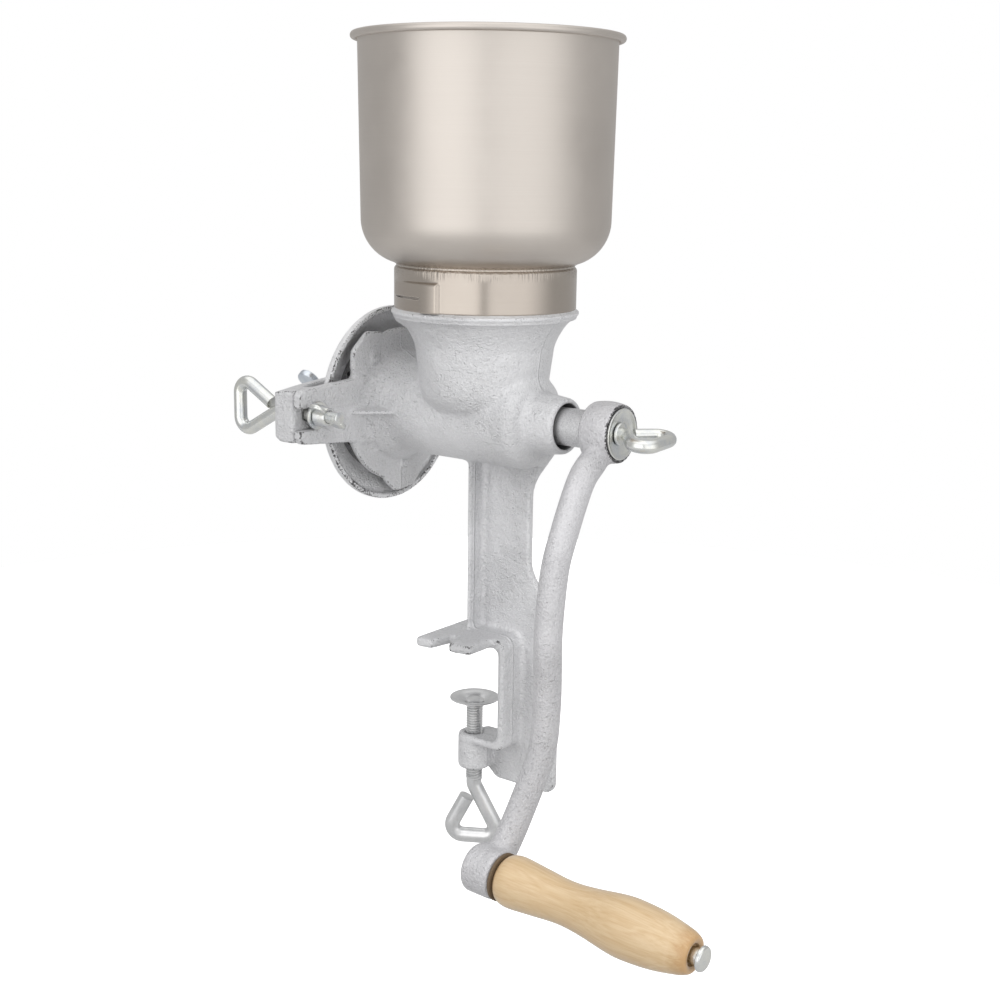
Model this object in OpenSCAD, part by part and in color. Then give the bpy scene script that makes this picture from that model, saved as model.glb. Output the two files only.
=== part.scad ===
/* [Overall] */
// Height of the shaft's axis above the table top that the upper jaw stands on
shaft_h = 124; // [110:1:150]
// Distance along the shaft from the clamp screw's axis to the hopper's axis
hopper_x = 4; // [0:0.5:8]
// Gap between pieces that turn or slide past each other
play = 0.3; // [0.2:0.05:0.5]
// Running gap round a shaft in its bore
shaft_play = 0.1; // [0.05:0.01:0.2]

/* [Hopper] */
// Outer radius of the bowl just above its bottom corner
bowl_r = 64.5; // [55:0.5:75]
// How much the bowl widens up to its rim
bowl_flare = 1.3; // [0.5:0.1:4]
// Height of the bowl from the collar to the rim
bowl_h = 114.5; // [90:0.5:140]
// Radius of the bowl's bottom corner
bowl_corner_r = 23; // [16:0.5:30]
// Sheet thickness of the hopper
sheet_t = 0.9; // [0.7:0.1:1.5]
// Radius of the rolled wire edge at the rim
rim_roll_r = 1.9; // [1.4:0.1:3]
// Outer radius of the collar under the bowl
collar_r = 47.4; // [42:0.2:52]
// Height of the collar
collar_h = 21; // [19:0.5:26]
// Depth of the embossed bayonet channel
channel_depth = 1.6; // [1.2:0.1:2]
// Width of the bayonet channel
channel_w = 7; // [6:0.5:8]
// Turn of the hopper from locked to free, in degrees
bayonet_turn = 28; // [20:1:32]

/* [Throat and barrel] */
// Wall of the casting
cast_wall = 5; // [4:0.5:7]
// Outer radius of the barrel
barrel_r = 25; // [23:0.5:28]
// Distance from the hopper's axis to the closed end of the barrel
barrel_front = 31; // [27:0.5:36]
// Distance from the hopper's axis to the back of the grinding flange
barrel_back = 62.2; // [58:0.5:68]
// Length of the shaft bearing beyond the barrel
bearing_len = 23; // [18:0.5:28]
// Outer radius of the shaft bearing at its end
bearing_r = 14.4; // [13.5:0.1:16]
// Outer radius of the throat at its narrow neck
neck_r = 34; // [32:0.5:37]
// Outer radius of the lip that carries the hopper
lip_r = 49; // [48:0.5:52]
// Thickness of the lip
lip_t = 5.5; // [4:0.5:7]
// Height of the lip's top above the shaft's axis
lip_h = 58; // [54:0.5:64]
// Radius of the hollow flare under the lip
flare_r = 16; // [13:0.5:18]
// Height of the upright ring that the collar drops over
spigot_h = 14; // [12:0.5:16]

/* [Grinding flange] */
// Thickness of the flange
flange_t = 3.8; // [3:0.1:5]
// Radius of the flange between its lugs
flange_r = 42; // [41:0.5:44]
// Reach of the flange's lugs
lug_r = 48.6; // [46:0.2:50]
// Width of a lug across its end
lug_w = 15; // [12:0.5:18]
// How far the cross bar stands proud of the flange
bar_proud = 1.6; // [1:0.1:3]
// Height of the cross bar at its ends
bar_h = 28; // [24:0.5:32]
// Height of the cross bar at the barrel
bar_root_h = 40; // [34:0.5:44]

/* [Grinding plates] */
// Outer radius of the grinding plates
burr_r = 38; // [35:0.5:39]
// Radius of the feed opening in the fixed plate
burr_eye_r = 15; // [13:0.5:17]
// Thickness of each grinding plate
burr_t = 4; // [3.5:0.1:5]
// Gap between the plates at their closest setting
burr_gap = 0.5; // [0.3:0.1:1]
// Number of groove groups round each plate
groove_groups = 12; // [8:1:14]
// Depth of the grooves
groove_depth = 1.5; // [1:0.1:2]
// Radius of the rotating disc at its rim
disc_r = 53.6; // [51:0.2:55]
// Thickness of the rotating disc's web
disc_t = 4.5; // [4:0.1:6]
// Width of the rotating disc's rim lip
rim_w = 3; // [2:0.1:4]
// Radius of the hub behind the rotating disc
disc_hub_r = 13; // [12:0.5:15]
// Height of the hub behind the rotating disc
disc_hub_h = 5; // [4:0.5:7]
// Travel of the rotating disc from fine to coarse
coarse_travel = 3; // [2:0.5:4]

/* [Shaft and auger] */
// Radius of the shaft in its bearing
shaft_r = 9.7; // [9:0.1:10.5]
// Radius of the shaft's seat for the rotating disc
shaft_seat_r = 8; // [7.5:0.1:8.5]
// Radius of the auger's core
auger_core_r = 10.5; // [9.8:0.1:11.5]
// Turns of the auger's flight
auger_turns = 2.25; // [1.5:0.25:3]
// Thickness of the flight along the shaft
flight_t = 3.5; // [2.5:0.1:4.5]
// Distance between the two flats on the shaft's end
flats_w = 15; // [13:0.2:17]
// Radius of the steel ball at the shaft's end
ball_r = 4.75; // [4:0.25:5.5]
// Radius of the pin that drives the disc
drive_pin_r = 2.5; // [2:0.1:3]

/* [Yoke] */
// Height of the yoke at its middle
yoke_h = 24; // [20:0.5:28]
// Thickness of the yoke's bridge
yoke_t = 9; // [7:0.5:12]
// Length of the yoke's ends along the shaft
yoke_end_t = 14; // [12:0.5:16]
// Gap between the disc's rim and the yoke's ends
disc_clear = 2.5; // [2:0.1:4]
// Height of the yoke's bolts above the shaft's axis
bolt_rise = 1.8; // [0:0.1:1.8]
// Distance from the end of the cross bar to the yoke's bolts
bolt_inset = 11.5; // [10.5:0.5:13]
// Radius of the yoke's middle boss
yoke_boss_r = 12; // [10:0.5:14]
// Length of the yoke's middle boss
yoke_boss_len = 15; // [12:0.5:18]
// Radius of the adjusting screw
adjust_r = 5; // [4:0.25:6]
// Distance from the ball's centre to the near side of the adjusting screw's wings
adjust_len = 33; // [31:0.5:38]
// Half of the span across the adjusting screw's wings
adjust_wing_half = 16.5; // [15:0.5:18]

/* [Eye bolts and wing nuts] */
// Radius of the bent rod of the eye bolts
eye_rod_r = 3.5; // [3:0.1:4]
// Length of the eye from its neck to the middle of its far side
eye_len = 34; // [30:0.5:38]
// Half width of the eye at the rod's middle
eye_half = 12.4; // [11:0.2:14]
// Half of the angle at the eye's neck
eye_neck_angle = 29; // [26:1:34]
// Radius of the eye's two far corners at the rod's middle
eye_corner_r = 6; // [5:0.5:8]
// Radius of the bolt's threaded end
bolt_thread_r = 3.1; // [2.8:0.1:3.4]
// Length of the bolt that stands out of its nut
bolt_tail = 7; // [5:0.5:11]
// Radius of the washers under the wing nuts
bolt_washer_r = 7.3; // [6.5:0.1:8]
// Thickness of the washers under the wing nuts
bolt_washer_t = 1.5; // [1:0.1:2]
// Height of a wing nut's hub
nut_h = 7.5; // [6:0.5:9]
// Radius of a wing nut's hub at its seat
nut_r = 5.8; // [5.4:0.1:7]
// Half of the span across the wings
wing_span_half = 13; // [12:0.5:15]
// Thickness of a wing
wing_t = 2.2; // [1.8:0.1:3]

/* [Crank] */
// Length of the crank from the shaft's axis to the grip pin
crank_len = 222; // [190:1:240]
// Angle of the crank from straight down at rest, in degrees
crank_angle = 24.8; // [0:0.2:60]
// Gap from the shaft bearing to the crank's hub
hub_gap = 16; // [12:0.5:20]
// Length of the crank's hub
hub_len = 17.5; // [15:0.5:20]
// Largest radius of the crank's hub
hub_r = 15.7; // [15:0.1:18]
// Radius of the hub's face
hub_face_r = 14.6; // [14:0.1:15.6]
// Width of the crank's arm across its face
arm_w = 16; // [13:0.5:18]
// Thickness of the crank's arm along the shaft
arm_t = 13.5; // [11:0.5:16]
// Mean bow of the arm's S to either side of a straight line
arm_bow = 16; // [8:0.5:20]
// Radius of the boss that holds the grip pin
grip_boss_r = 12; // [11:0.5:14]
// Length of the boss that holds the grip pin
grip_boss_len = 17; // [15:0.5:20]
// Lean of the grip away from the shaft, in degrees
grip_lean = 1.9; // [0:0.1:5]
// Radius of the thumb screw's threaded shank
thumb_thread_r = 3.4; // [3:0.1:3.5]
// Depth of the thumb screw in the shaft
thumb_depth = 14; // [10:0.5:18]
// Length of the thumb screw's eye from its neck to the middle of its far side
thumb_eye_len = 27; // [26:0.5:31]
// Half of the angle at the thumb screw's neck
thumb_neck_angle = 38; // [36:1:44]
// Radius of the cup washer in the hub's face
cup_r = 13; // [12:0.1:13.6]

/* [Grip] */
// Length of the wooden grip
grip_len = 107; // [95:1:120]
// Largest radius of the grip
grip_r = 14; // [13:0.5:16]
// Radius of the pin that the grip turns on
grip_pin_r = 3.9; // [3.5:0.1:4.5]
// Radius of the rivet head on the grip pin
grip_head_r = 5.9; // [5.5:0.1:7]
// Length of bare pin between the grip and the rivet head
grip_end_play = 1.6; // [1:0.1:3]
// Thickness of the washer behind the grip
grip_washer_t = 1.2; // [1:0.1:2]

/* [Column and clamp] */
// Thickness of the column's web
web_t = 4.5; // [4:0.1:6]
// Distance from the shaft's plane to the web's face
web_y = 8; // [6.5:0.5:8.5]
// Width of the upper column
column_w = 33; // [30:0.5:36]
// Thickness of the column's flanges
rib_t = 4; // [3:0.1:5]
// Reach of the upper flange past the shaft's plane, towards the front
rib_front = 2.5; // [0:0.5:6]
// Thickness of the upper jaw
jaw_t = 5.3; // [4.5:0.1:7]
// Width of the upper jaw across the shaft
jaw_w = 66; // [56:1:76]
// Distance from the clamp screw's axis to the jaw's free edge
jaw_reach = 16; // [14.5:0.5:20]
// Distance from the clamp screw's axis to the inside of the clamp's spine
throat_depth = 22; // [20:0.5:26]
// Width of the clamp's spine along the shaft
spine_w = 26.5; // [22:0.5:30]
// Opening between the upper jaw and the lower jaw
clamp_h = 54; // [50:0.5:64]
// Radius of the lower jaw's screw boss
clamp_boss_r = 9; // [8.5:0.1:10.5]
// Height of the lower jaw's screw boss
clamp_boss_h = 20.5; // [17:0.5:24]
// Depth of the spine below the opening
spine_foot = 28; // [24:0.5:32]
// Width of the jaw's end notches at their mouth
notch_w = 11; // [9:0.5:13]
// Depth of the jaw's end notches
notch_depth = 16; // [12:0.5:18]

/* [Clamp screw] */
// Radius of the clamp screw's thread
clamp_r = 4.6; // [4:0.1:5]
// Distance from the table seat down to the pad at rest
pad_drop = 33.9; // [30:0.5:36]
// Radius of the clamp pad
pad_r = 13.7; // [12:0.1:15]
// Height of the clamp pad
pad_h = 4; // [4:0.5:7]
// Thickness of the pad's sheet
pad_t = 1.3; // [1:0.1:2]
// Length of thread that shows below the lower jaw
clamp_tail = 7.5; // [6.5:0.5:10]
// Length of the clamp handle from its neck to the middle of its far side
handle_len = 34.5; // [32:0.5:42]
// Half width of the clamp handle at the rod's middle
handle_half = 12; // [11:0.2:14]
// Half of the angle at the clamp handle's neck
handle_neck_angle = 27; // [26:1:32]
// Turn of the clamp handle about its screw, in degrees
handle_turn = 30; // [0:5:90]

/* [Hidden] */
$fn = 72;

// Overrun of every cut
cut = 1;
// Turns of the screws and nuts about their own axes, in degrees
adjust_wing_turn = 40;
front_nut_turn = 57;
rear_nut_turn = 60;
thumb_tilt = 8;
// Facets of an arc in an outline
arc_steps = 6;

// Colours of the finishes
cast_paint = [0.78, 0.78, 0.80];
steel_sheet = [0.75, 0.72, 0.68];
zinc = [0.72, 0.73, 0.70];
bare_iron = [0.45, 0.45, 0.46];
birch = [0.87, 0.74, 0.54];
fibre = [0.28, 0.22, 0.16];

// Stations along the shaft, measured from the clamp screw's axis
flange_back_x = hopper_x - barrel_back;
flange_front_x = flange_back_x + flange_t;
bar_front_x = flange_front_x + bar_proud;
barrel_end_x = hopper_x + barrel_front;
bearing_end_x = barrel_end_x + bearing_len;
hub_x = bearing_end_x + hub_gap;
hub_face_x = hub_x + hub_len;
fixed_face_x = flange_back_x - burr_t;
rotating_face_x = fixed_face_x - burr_gap;
disc_front_x = rotating_face_x - burr_t;
disc_back_x = disc_front_x - disc_t;
disc_hub_x = disc_back_x - disc_hub_h;
bridge_x = disc_hub_x - coarse_travel - burr_t;
yoke_foot_x = flange_back_x - play;
yoke_end_x = yoke_foot_x - yoke_end_t;
ball_x = disc_hub_x - 0.75 * ball_r;

// Distances from the shaft's axis to the inside of the yoke's ends, its bolts and the bar's end
block_y = disc_r + disc_clear;
bolt_y = block_y + 0.85 * yoke_end_t;
bar_half = bolt_y + bolt_inset;

// Inner radii
bore_r = barrel_r - cast_wall;
bearing_bore_r = shaft_r + shaft_play;
neck_bore_r = neck_r - cast_wall;
spigot_r = collar_r - sheet_t - play;
spigot_bore_r = spigot_r - cast_wall / 2;
collar_bore_r = collar_r - sheet_t;

// Heights of the hopper's parts
lip_top_z = shaft_h + lip_h;
collar_z = lip_top_z + play;
bowl_z = collar_z + collar_h;
rim_z = bowl_z + bowl_h;

// A point with its corner radius cut back along both edges
function unit(v) = v / norm(v);
function at_angle(r, a) = [r * cos(a), r * sin(a)];
function turn_to(a, b) = let (d = (b - a) % 360) d > 180 ? d - 360 : d < -180 ? d + 360 : d;
function corner_centre(a, b, c, r) =
    let (u = unit(a - b), v = unit(c - b), half = acos(u * v) / 2)
    b + unit(u + v) * r / sin(half);
function corner_setback(a, b, c, r) = r / tan(acos(unit(a - b) * unit(c - b)) / 2);
function direction(v) = atan2(v[1], v[0]);
function xy(p) = [p[0], p[1]];

// One corner of an outline as an arc, from points given as x, y and radius
function corner_arc(p, q, s) =
    let (a = xy(p), b = xy(q), c = xy(s), r = q[2])
    r == 0 ? [b] :
    let (m = corner_centre(a, b, c, r), d = corner_setback(a, b, c, r),
         from = direction(b + unit(a - b) * d - m), to = direction(b + unit(c - b) * d - m),
         sweep = turn_to(from, to))
    [for (k = [0 : arc_steps]) m + at_angle(r, from + sweep * k / arc_steps)];

// A closed outline with rounded corners
function rounded(pts) = let (n = len(pts))
    [for (i = [0 : n - 1]) each corner_arc(pts[(i + n - 1) % n], pts[i], pts[(i + 1) % n])];

// Moves to the shaft's axis at a station along it, with the local z along the shaft
module on_shaft(x, y = 0) {
    translate([x, y, shaft_h]) rotate([0, 90, 0]) children();
}

// Moves to a yoke bolt's axis at a station along it
module on_bolt(x, y) {
    translate([0, 0, bolt_rise]) on_shaft(x, y) children();
}

// A solid of revolution about the shaft, from points of radius and station
module turned_on_shaft(points) {
    on_shaft(0) rotate_extrude() polygon(points);
}

// A prism along the shaft whose outline is drawn with y across and z up
module plate_across(x, t) {
    translate([x, 0, shaft_h]) rotate([90, 0, 90]) linear_extrude(t) children();
}

// A prism across the shaft whose outline is drawn with x along the shaft and z up
module plate_along(y, t) {
    translate([0, y + t, 0]) rotate([90, 0, 0]) linear_extrude(t) children();
}

// A sweep of an oval section along a flat curve
module oval_sweep(line, w, t, sides) {
    n = len(line);
    ring = [for (k = [0 : n - 1])
        let (ahead = line[min(k + 1, n - 1)] - line[max(k - 1, 0)], u = unit(ahead), across = [-u[1], u[0]])
        each [for (j = [0 : sides - 1]) let (a = 360 * j / sides)
            [line[k][0] + across[0] * w / 2 * cos(a), line[k][1] + across[1] * w / 2 * cos(a),
             t / 2 * sin(a)]]];
    polyhedron(ring, [
        [for (j = [0 : sides - 1]) j],
        [for (j = [sides - 1 : -1 : 0]) (n - 1) * sides + j],
        for (k = [0 : n - 2], j = [0 : sides - 1]) let (p = k * sides + j, q = k * sides + (j + 1) % sides)
            each [[p, p + sides, q], [q, p + sides, q + sides]]]);
}

// The middle line of a bent rod, from points with bend radii
function bent_line(path) = let (n = len(path)) [
    xy(path[0]),
    for (k = [1 : n - 2]) each corner_arc(path[k - 1], path[k], path[k + 1]),
    xy(path[n - 1])];

// A triangular eye of bent rod: the neck is at the origin and the eye reaches along x.
// Its round shank runs back from the neck, and the bent part starts inside the shank
rod_sides = 20;
bend_share = 0.98;
module rod_eye(r, length, half, corner, neck_angle, tail) {
    side = (corner + (half - corner) * cos(neck_angle)) / sin(neck_angle);
    apex = length - corner - side;
    spread = (length - apex) * tan(neck_angle);
    // The end of the rod stops just short of the neck
    end_run = (r + play + r * cos(2 * neck_angle)) / sin(2 * neck_angle);
    end = [apex + end_run * cos(neck_angle), end_run * sin(neck_angle)];
    neck_bend_r = 1.5 * r;
    translate([-tail, 0, 0]) rotate([0, 90, 0]) cylinder(r = r, h = tail);
    oval_sweep(bent_line([[-r / 2, 0, 0], [apex, 0, neck_bend_r], [length, -spread, corner],
                          [length, spread, corner], [end[0], end[1], 0]]),
               2 * r * bend_share, 2 * r * bend_share, rod_sides);
}

// The outer form of the throat, from its round belly up to the lip
module throat_form() {
    belly_r = 0.47 * neck_r;
    belly = [neck_r - belly_r, 1.12 * belly_r];
    flare = [1.06 * neck_r + flare_r, lip_h - lip_t - 1.2 * flare_r];
    edge = lip_t / 5;
    translate([hopper_x, 0, shaft_h]) rotate_extrude() polygon([
        [0, 0],
        for (a = [-75 : 15 : 0]) belly + at_angle(belly_r, a),
        for (a = [180 : -15 : 105]) flare + at_angle(flare_r, a),
        [lip_r - edge, lip_h - lip_t],
        [lip_r, lip_h - lip_t + edge],
        [lip_r, lip_h - edge],
        [lip_r - edge, lip_h],
        [spigot_r, lip_h],
        [spigot_r, lip_h + spigot_h - edge],
        [spigot_r - edge, lip_h + spigot_h],
        [0, lip_h + spigot_h]]);
}

// The inside of the throat, a funnel that opens into the barrel
module throat_bore() {
    belly_r = 0.47 * neck_r;
    belly = [neck_r - belly_r, 1.12 * belly_r];
    funnel_z = lip_h - lip_t - 1.2 * flare_r;
    translate([hopper_x, 0, shaft_h]) rotate_extrude() polygon([
        [0, belly[1] - belly_r + cast_wall],
        for (a = [-90 : 15 : 0]) belly + at_angle(belly_r - cast_wall, a),
        [neck_bore_r, funnel_z],
        [neck_bore_r + cast_wall, funnel_z + flare_r * 0.75],
        [spigot_bore_r, lip_h - lip_t],
        [spigot_bore_r, lip_h + spigot_h + cut],
        [0, lip_h + spigot_h + cut]]);
}

// The outer form of the barrel and the shaft bearing at its closed end
module barrel_form() {
    foot_r = barrel_r + cast_wall;
    bearing_root_r = bearing_r * 1.14;
    shoulder = barrel_r / 4;
    turned_on_shaft(rounded([
        [0, flange_back_x, 0],
        [foot_r, flange_back_x, 0],
        [foot_r, bar_front_x + bar_proud, bar_proud],
        [barrel_r, bar_front_x + 2 * cast_wall, shoulder],
        [barrel_r, barrel_end_x + shoulder / 2, shoulder],
        [bearing_root_r, barrel_end_x + shoulder, shoulder / 4],
        [bearing_r, bearing_end_x, bearing_r / 14],
        [0, bearing_end_x, 0]]));
}

// The bores of the barrel, the auger's wide one and the shaft's narrow one
module barrel_bore() {
    on_shaft(flange_back_x - cut)
        cylinder(r = bore_r, h = barrel_end_x - cast_wall - flange_back_x + cut);
    on_shaft(barrel_end_x - cast_wall - cut)
        cylinder(r = bearing_bore_r, h = cast_wall + bearing_len + 2 * cut);
}

// The angles of the lugs round the flange; the pegs of the fixed plate go through them
lug_angles = [22.6, 130.4, 274.8];
peg_circle_r = 0.89 * burr_r;
peg_r = 0.08 * burr_r;
peg_hold = burr_t / 2;

// Round pegs that stand along the shaft at the lugs' angles
module pegs(x, h, r) {
    translate([x, 0, shaft_h]) rotate([90, 0, 90]) for (a = lug_angles)
        translate([peg_circle_r * cos(a), peg_circle_r * sin(a), 0]) cylinder(r = r, h = h);
}

// One rounded lug on the edge of the flange
module flange_lug(a) {
    lug_corner = lug_w / 4;
    lug_foot = flange_r - peg_r / 4;
    plate_across(flange_back_x, flange_t) rotate(a) polygon(rounded([
        [flange_r / 2, -lug_w, 0],
        [lug_foot, -lug_w, lug_corner],
        [lug_r, -lug_w / 2, lug_corner],
        [lug_r, lug_w / 2, lug_corner],
        [lug_foot, lug_w, lug_corner],
        [flange_r / 2, lug_w, 0]]));
}

// The flange that holds the fixed plate, with the cross bar over it
bar_rise = bar_h / 20;
module grinding_flange() {
    on_shaft(flange_back_x) cylinder(r = flange_r, h = flange_t);
    for (a = lug_angles) flange_lug(a);
    end_r = bar_h / 8;
    low = bar_rise - bar_h / 2;
    high = bar_rise + bar_h / 2;
    plate_across(flange_back_x, flange_t + bar_proud) polygon(rounded([
        [-bar_half, low, end_r], [0, -bar_root_h / 2, 0], [bar_half, low, end_r],
        [bar_half, high, end_r], [0, bar_root_h / 2, 0], [-bar_half, high, end_r]]));
}

// The flat fins that brace the cross bar against the barrel
fin_t = 0.6 * cast_wall;
fin_reach = 0.7 * barrel_r;
module bar_fins() {
    for (s = [-1, 1])
        translate([0, 0, shaft_h - fin_t / 2]) linear_extrude(fin_t) polygon([
            [flange_front_x, s * (barrel_r + fin_reach)],
            [bar_front_x, s * (barrel_r + fin_reach)],
            [bar_front_x + fin_reach, s * barrel_r],
            [bar_front_x + fin_reach, s * (barrel_r - cast_wall / 2)],
            [flange_front_x, s * (barrel_r - cast_wall / 2)]]);
}

// The open slots in the ends of the cross bar that the yoke's bolts drop into
bolt_slot_r = 1.63 * eye_rod_r;
module bar_slots() {
    for (s = [-1, 1]) {
        on_shaft(flange_back_x - cut, s * bolt_y)
            cylinder(r = bolt_slot_r, h = flange_t + bar_proud + 2 * cut);
        translate([flange_back_x - cut, s > 0 ? bolt_y : -bar_half - cut, shaft_h - bolt_slot_r])
            cube([flange_t + bar_proud + 2 * cut, bar_half - bolt_y + cut, 2 * bolt_slot_r]);
    }
}

// Levels and stations of the column and the clamp
web_back_y = web_y + web_t;
column_x = -rib_t;
spine_x = throat_depth + spine_w;
lower_jaw_z = -clamp_h;
boss_foot_z = lower_jaw_z - clamp_boss_h;
spine_foot_z = lower_jaw_z - spine_foot;
jaw_edge_x = throat_depth - rib_t;

// The upright web of the column, with the clamp's opening cut into it
module column_web() {
    column_edge_x = column_x + column_w;
    step_z = shaft_h / 3;
    spine_top_z = shaft_h / 8;
    flare_z = shaft_h - 1.45 * barrel_r;
    flare_top_z = shaft_h - 0.9 * bearing_r;
    plate_along(web_y, web_t) polygon(rounded([
        [column_x, shaft_h - barrel_r / 2, 0],
        [column_x, 0, 0],
        [throat_depth, 0, rib_t],
        [throat_depth, lower_jaw_z, 1.25 * rib_t],
        [0, lower_jaw_z, 0],
        [0, boss_foot_z, 0],
        [clamp_boss_r, spine_foot_z, rib_t],
        [spine_x, spine_foot_z, 1.5 * rib_t],
        [spine_x, spine_top_z, 3 * rib_t],
        [column_edge_x, step_z, 5 * rib_t],
        [column_edge_x, flare_z, 6 * rib_t],
        [bearing_end_x - bearing_len / 2, flare_top_z, 0]]));
}

// The flange up the left edge of the column
module column_rib() {
    translate([column_x, -rib_front, jaw_t / 2])
        cube([rib_t, rib_front + web_back_y, shaft_h - barrel_r / 2 - jaw_t / 2]);
}

// The wide upper jaw, with a notch in each end for a fixing screw
module upper_jaw() {
    half = jaw_w / 2;
    corner_r = jaw_t / 2;
    notch_root = notch_w / 4;
    difference() {
        linear_extrude(jaw_t) polygon(rounded([
            [-jaw_reach, -half, corner_r], [jaw_edge_x, -half + jaw_t, corner_r],
            [jaw_edge_x, half - jaw_t, corner_r], [-jaw_reach, half, corner_r]]));
        for (s = [-1, 1])
            translate([0, 0, -cut]) linear_extrude(jaw_t + 2 * cut) polygon([
                [-notch_w / 2, s * (half + cut)],
                [-notch_root, s * (half - notch_depth)],
                [notch_root, s * (half - notch_depth)],
                [notch_w / 2, s * (half + cut)]]);
    }
}

// The strip that lines the clamp's opening, from the upper jaw round to the screw boss
module clamp_lining() {
    outer_x = throat_depth + rib_t;
    outer_r = 1.5 * rib_t;
    plate_along(-clamp_boss_r, clamp_boss_r + web_back_y) polygon(rounded([
        [0, jaw_t, 0], [outer_x, jaw_t, outer_r], [outer_x, lower_jaw_z - rib_t, rib_t],
        [0, lower_jaw_z - rib_t, 0], [0, lower_jaw_z, 0],
        [throat_depth, lower_jaw_z, 1.25 * rib_t], [throat_depth, 0, rib_t], [0, 0, 0]]));
}

// The round boss of the lower jaw, joined to the web behind it
module clamp_boss() {
    edge = clamp_boss_r / 8;
    rotate_extrude() polygon([
        [0, boss_foot_z], [clamp_boss_r - edge, boss_foot_z], [clamp_boss_r, boss_foot_z + edge],
        [clamp_boss_r, lower_jaw_z - edge], [clamp_boss_r - edge, lower_jaw_z],
        [0, lower_jaw_z]]);
    translate([0, 0, boss_foot_z + rib_t])
        cube([0.7 * clamp_boss_r, web_back_y, clamp_boss_h - rib_t]);
}

// The body is one iron casting: throat, barrel, grinding flange, column and clamp
module body_casting() color(cast_paint) {
    difference() {
        union() {
            throat_form();
            barrel_form();
            grinding_flange();
            bar_fins();
            column_web();
            column_rib();
            upper_jaw();
            clamp_lining();
            clamp_boss();
        }
        throat_bore();
        barrel_bore();
        bar_slots();
        pegs(flange_back_x - cut, flange_t + 2 * cut, peg_r);
        translate([0, 0, boss_foot_z - cut])
            cylinder(r = clamp_r + shaft_play, h = clamp_boss_h + 2 * cut);
    }
    bayonet_lugs();
}

// The two lugs on the throat's ring that lock the hopper; they lie in its bayonet channels
lug_h = channel_w - 2 * play;
lug_z = lip_top_z + spigot_h - 1.2 * channel_w;
module bayonet_lugs() {
    lug_root_r = spigot_r - cast_wall / 4;
    lug_tip_r = collar_bore_r + channel_depth / 2;
    for (a = [-90, 90]) translate([hopper_x, 0, lug_z]) rotate(a - bayonet_turn)
        translate([lug_root_r, -lug_h / 2, 0]) cube([lug_tip_r - lug_root_r, lug_h, lug_h]);
}

// The path of both bayonet channels, grown by a margin; each is an upside down L
module channel_path(inner_r, outer_r, margin, foot_z) {
    w = channel_w + 2 * margin;
    leg_y = collar_r * sin(bayonet_turn / 2) + w / 2;
    level_z = lug_z - play - margin;
    top_z = level_z + w;
    for (a = [-90, 90]) rotate(a - bayonet_turn / 2) intersection() {
        translate([0, 0, foot_z]) difference() {
            cylinder(r = outer_r, h = top_z - foot_z);
            translate([0, 0, -cut]) cylinder(r = inner_r, h = top_z - foot_z + 2 * cut);
        }
        rotate([90, 0, 90]) linear_extrude(outer_r + cut) polygon([
            [-leg_y, level_z], [leg_y - w, level_z], [leg_y - w, foot_z - cut],
            [leg_y, foot_z - cut], [leg_y, top_z + cut], [-leg_y, top_z + cut]]);
    }
}

// The wall of the bowl and collar as an outline of radius and height
function bowl_wall(inset) = let (
        centre = [bowl_r - bowl_corner_r, bowl_z + bowl_corner_r],
        r = bowl_corner_r - inset,
        start = acos((collar_r - inset - centre[0]) / r))
    [[collar_r - inset, collar_z],
     for (k = [0 : 2 * arc_steps]) centre + at_angle(r, -start * (1 - k / (2 * arc_steps)))];

// The sheet metal hopper: bowl, rolled rim and embossed collar
module hopper() color(steel_sheet) translate([hopper_x, 0, 0]) {
    $fn = 96;
    top_r = bowl_r + bowl_flare;
    bead = [top_r + 0.9 * rim_roll_r, rim_z - rim_roll_r];
    inner = bowl_wall(sheet_t);
    difference() {
        union() {
            rotate_extrude() polygon([
                each bowl_wall(0),
                [top_r, bead[1] - rim_roll_r],
                for (a = [-140 : 20 : 100]) bead + at_angle(rim_roll_r, a),
                [top_r - sheet_t / 2, rim_z - sheet_t / 8],
                [top_r - sheet_t, rim_z - sheet_t],
                for (k = [len(inner) - 1 : -1 : 0]) inner[k]]);
            channel_path(collar_r - sheet_t / 2, collar_r + channel_depth, sheet_t, collar_z);
        }
        channel_path(collar_r - 2 * sheet_t, collar_bore_r + channel_depth, 0, collar_z - cut);
    }
}

// Stations of the shaft's steps
shaft_cup_x = ball_x - ball_r / 2;
shaft_back_x = ball_x + ball_r / 2;
core_end_x = barrel_end_x - cast_wall - play;
cup_floor_x = hub_face_x - 0.2 * hub_len;
shaft_tip_x = cup_floor_x - play;
flats_x = hub_x - play;
thread_clear = shaft_play;

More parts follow.
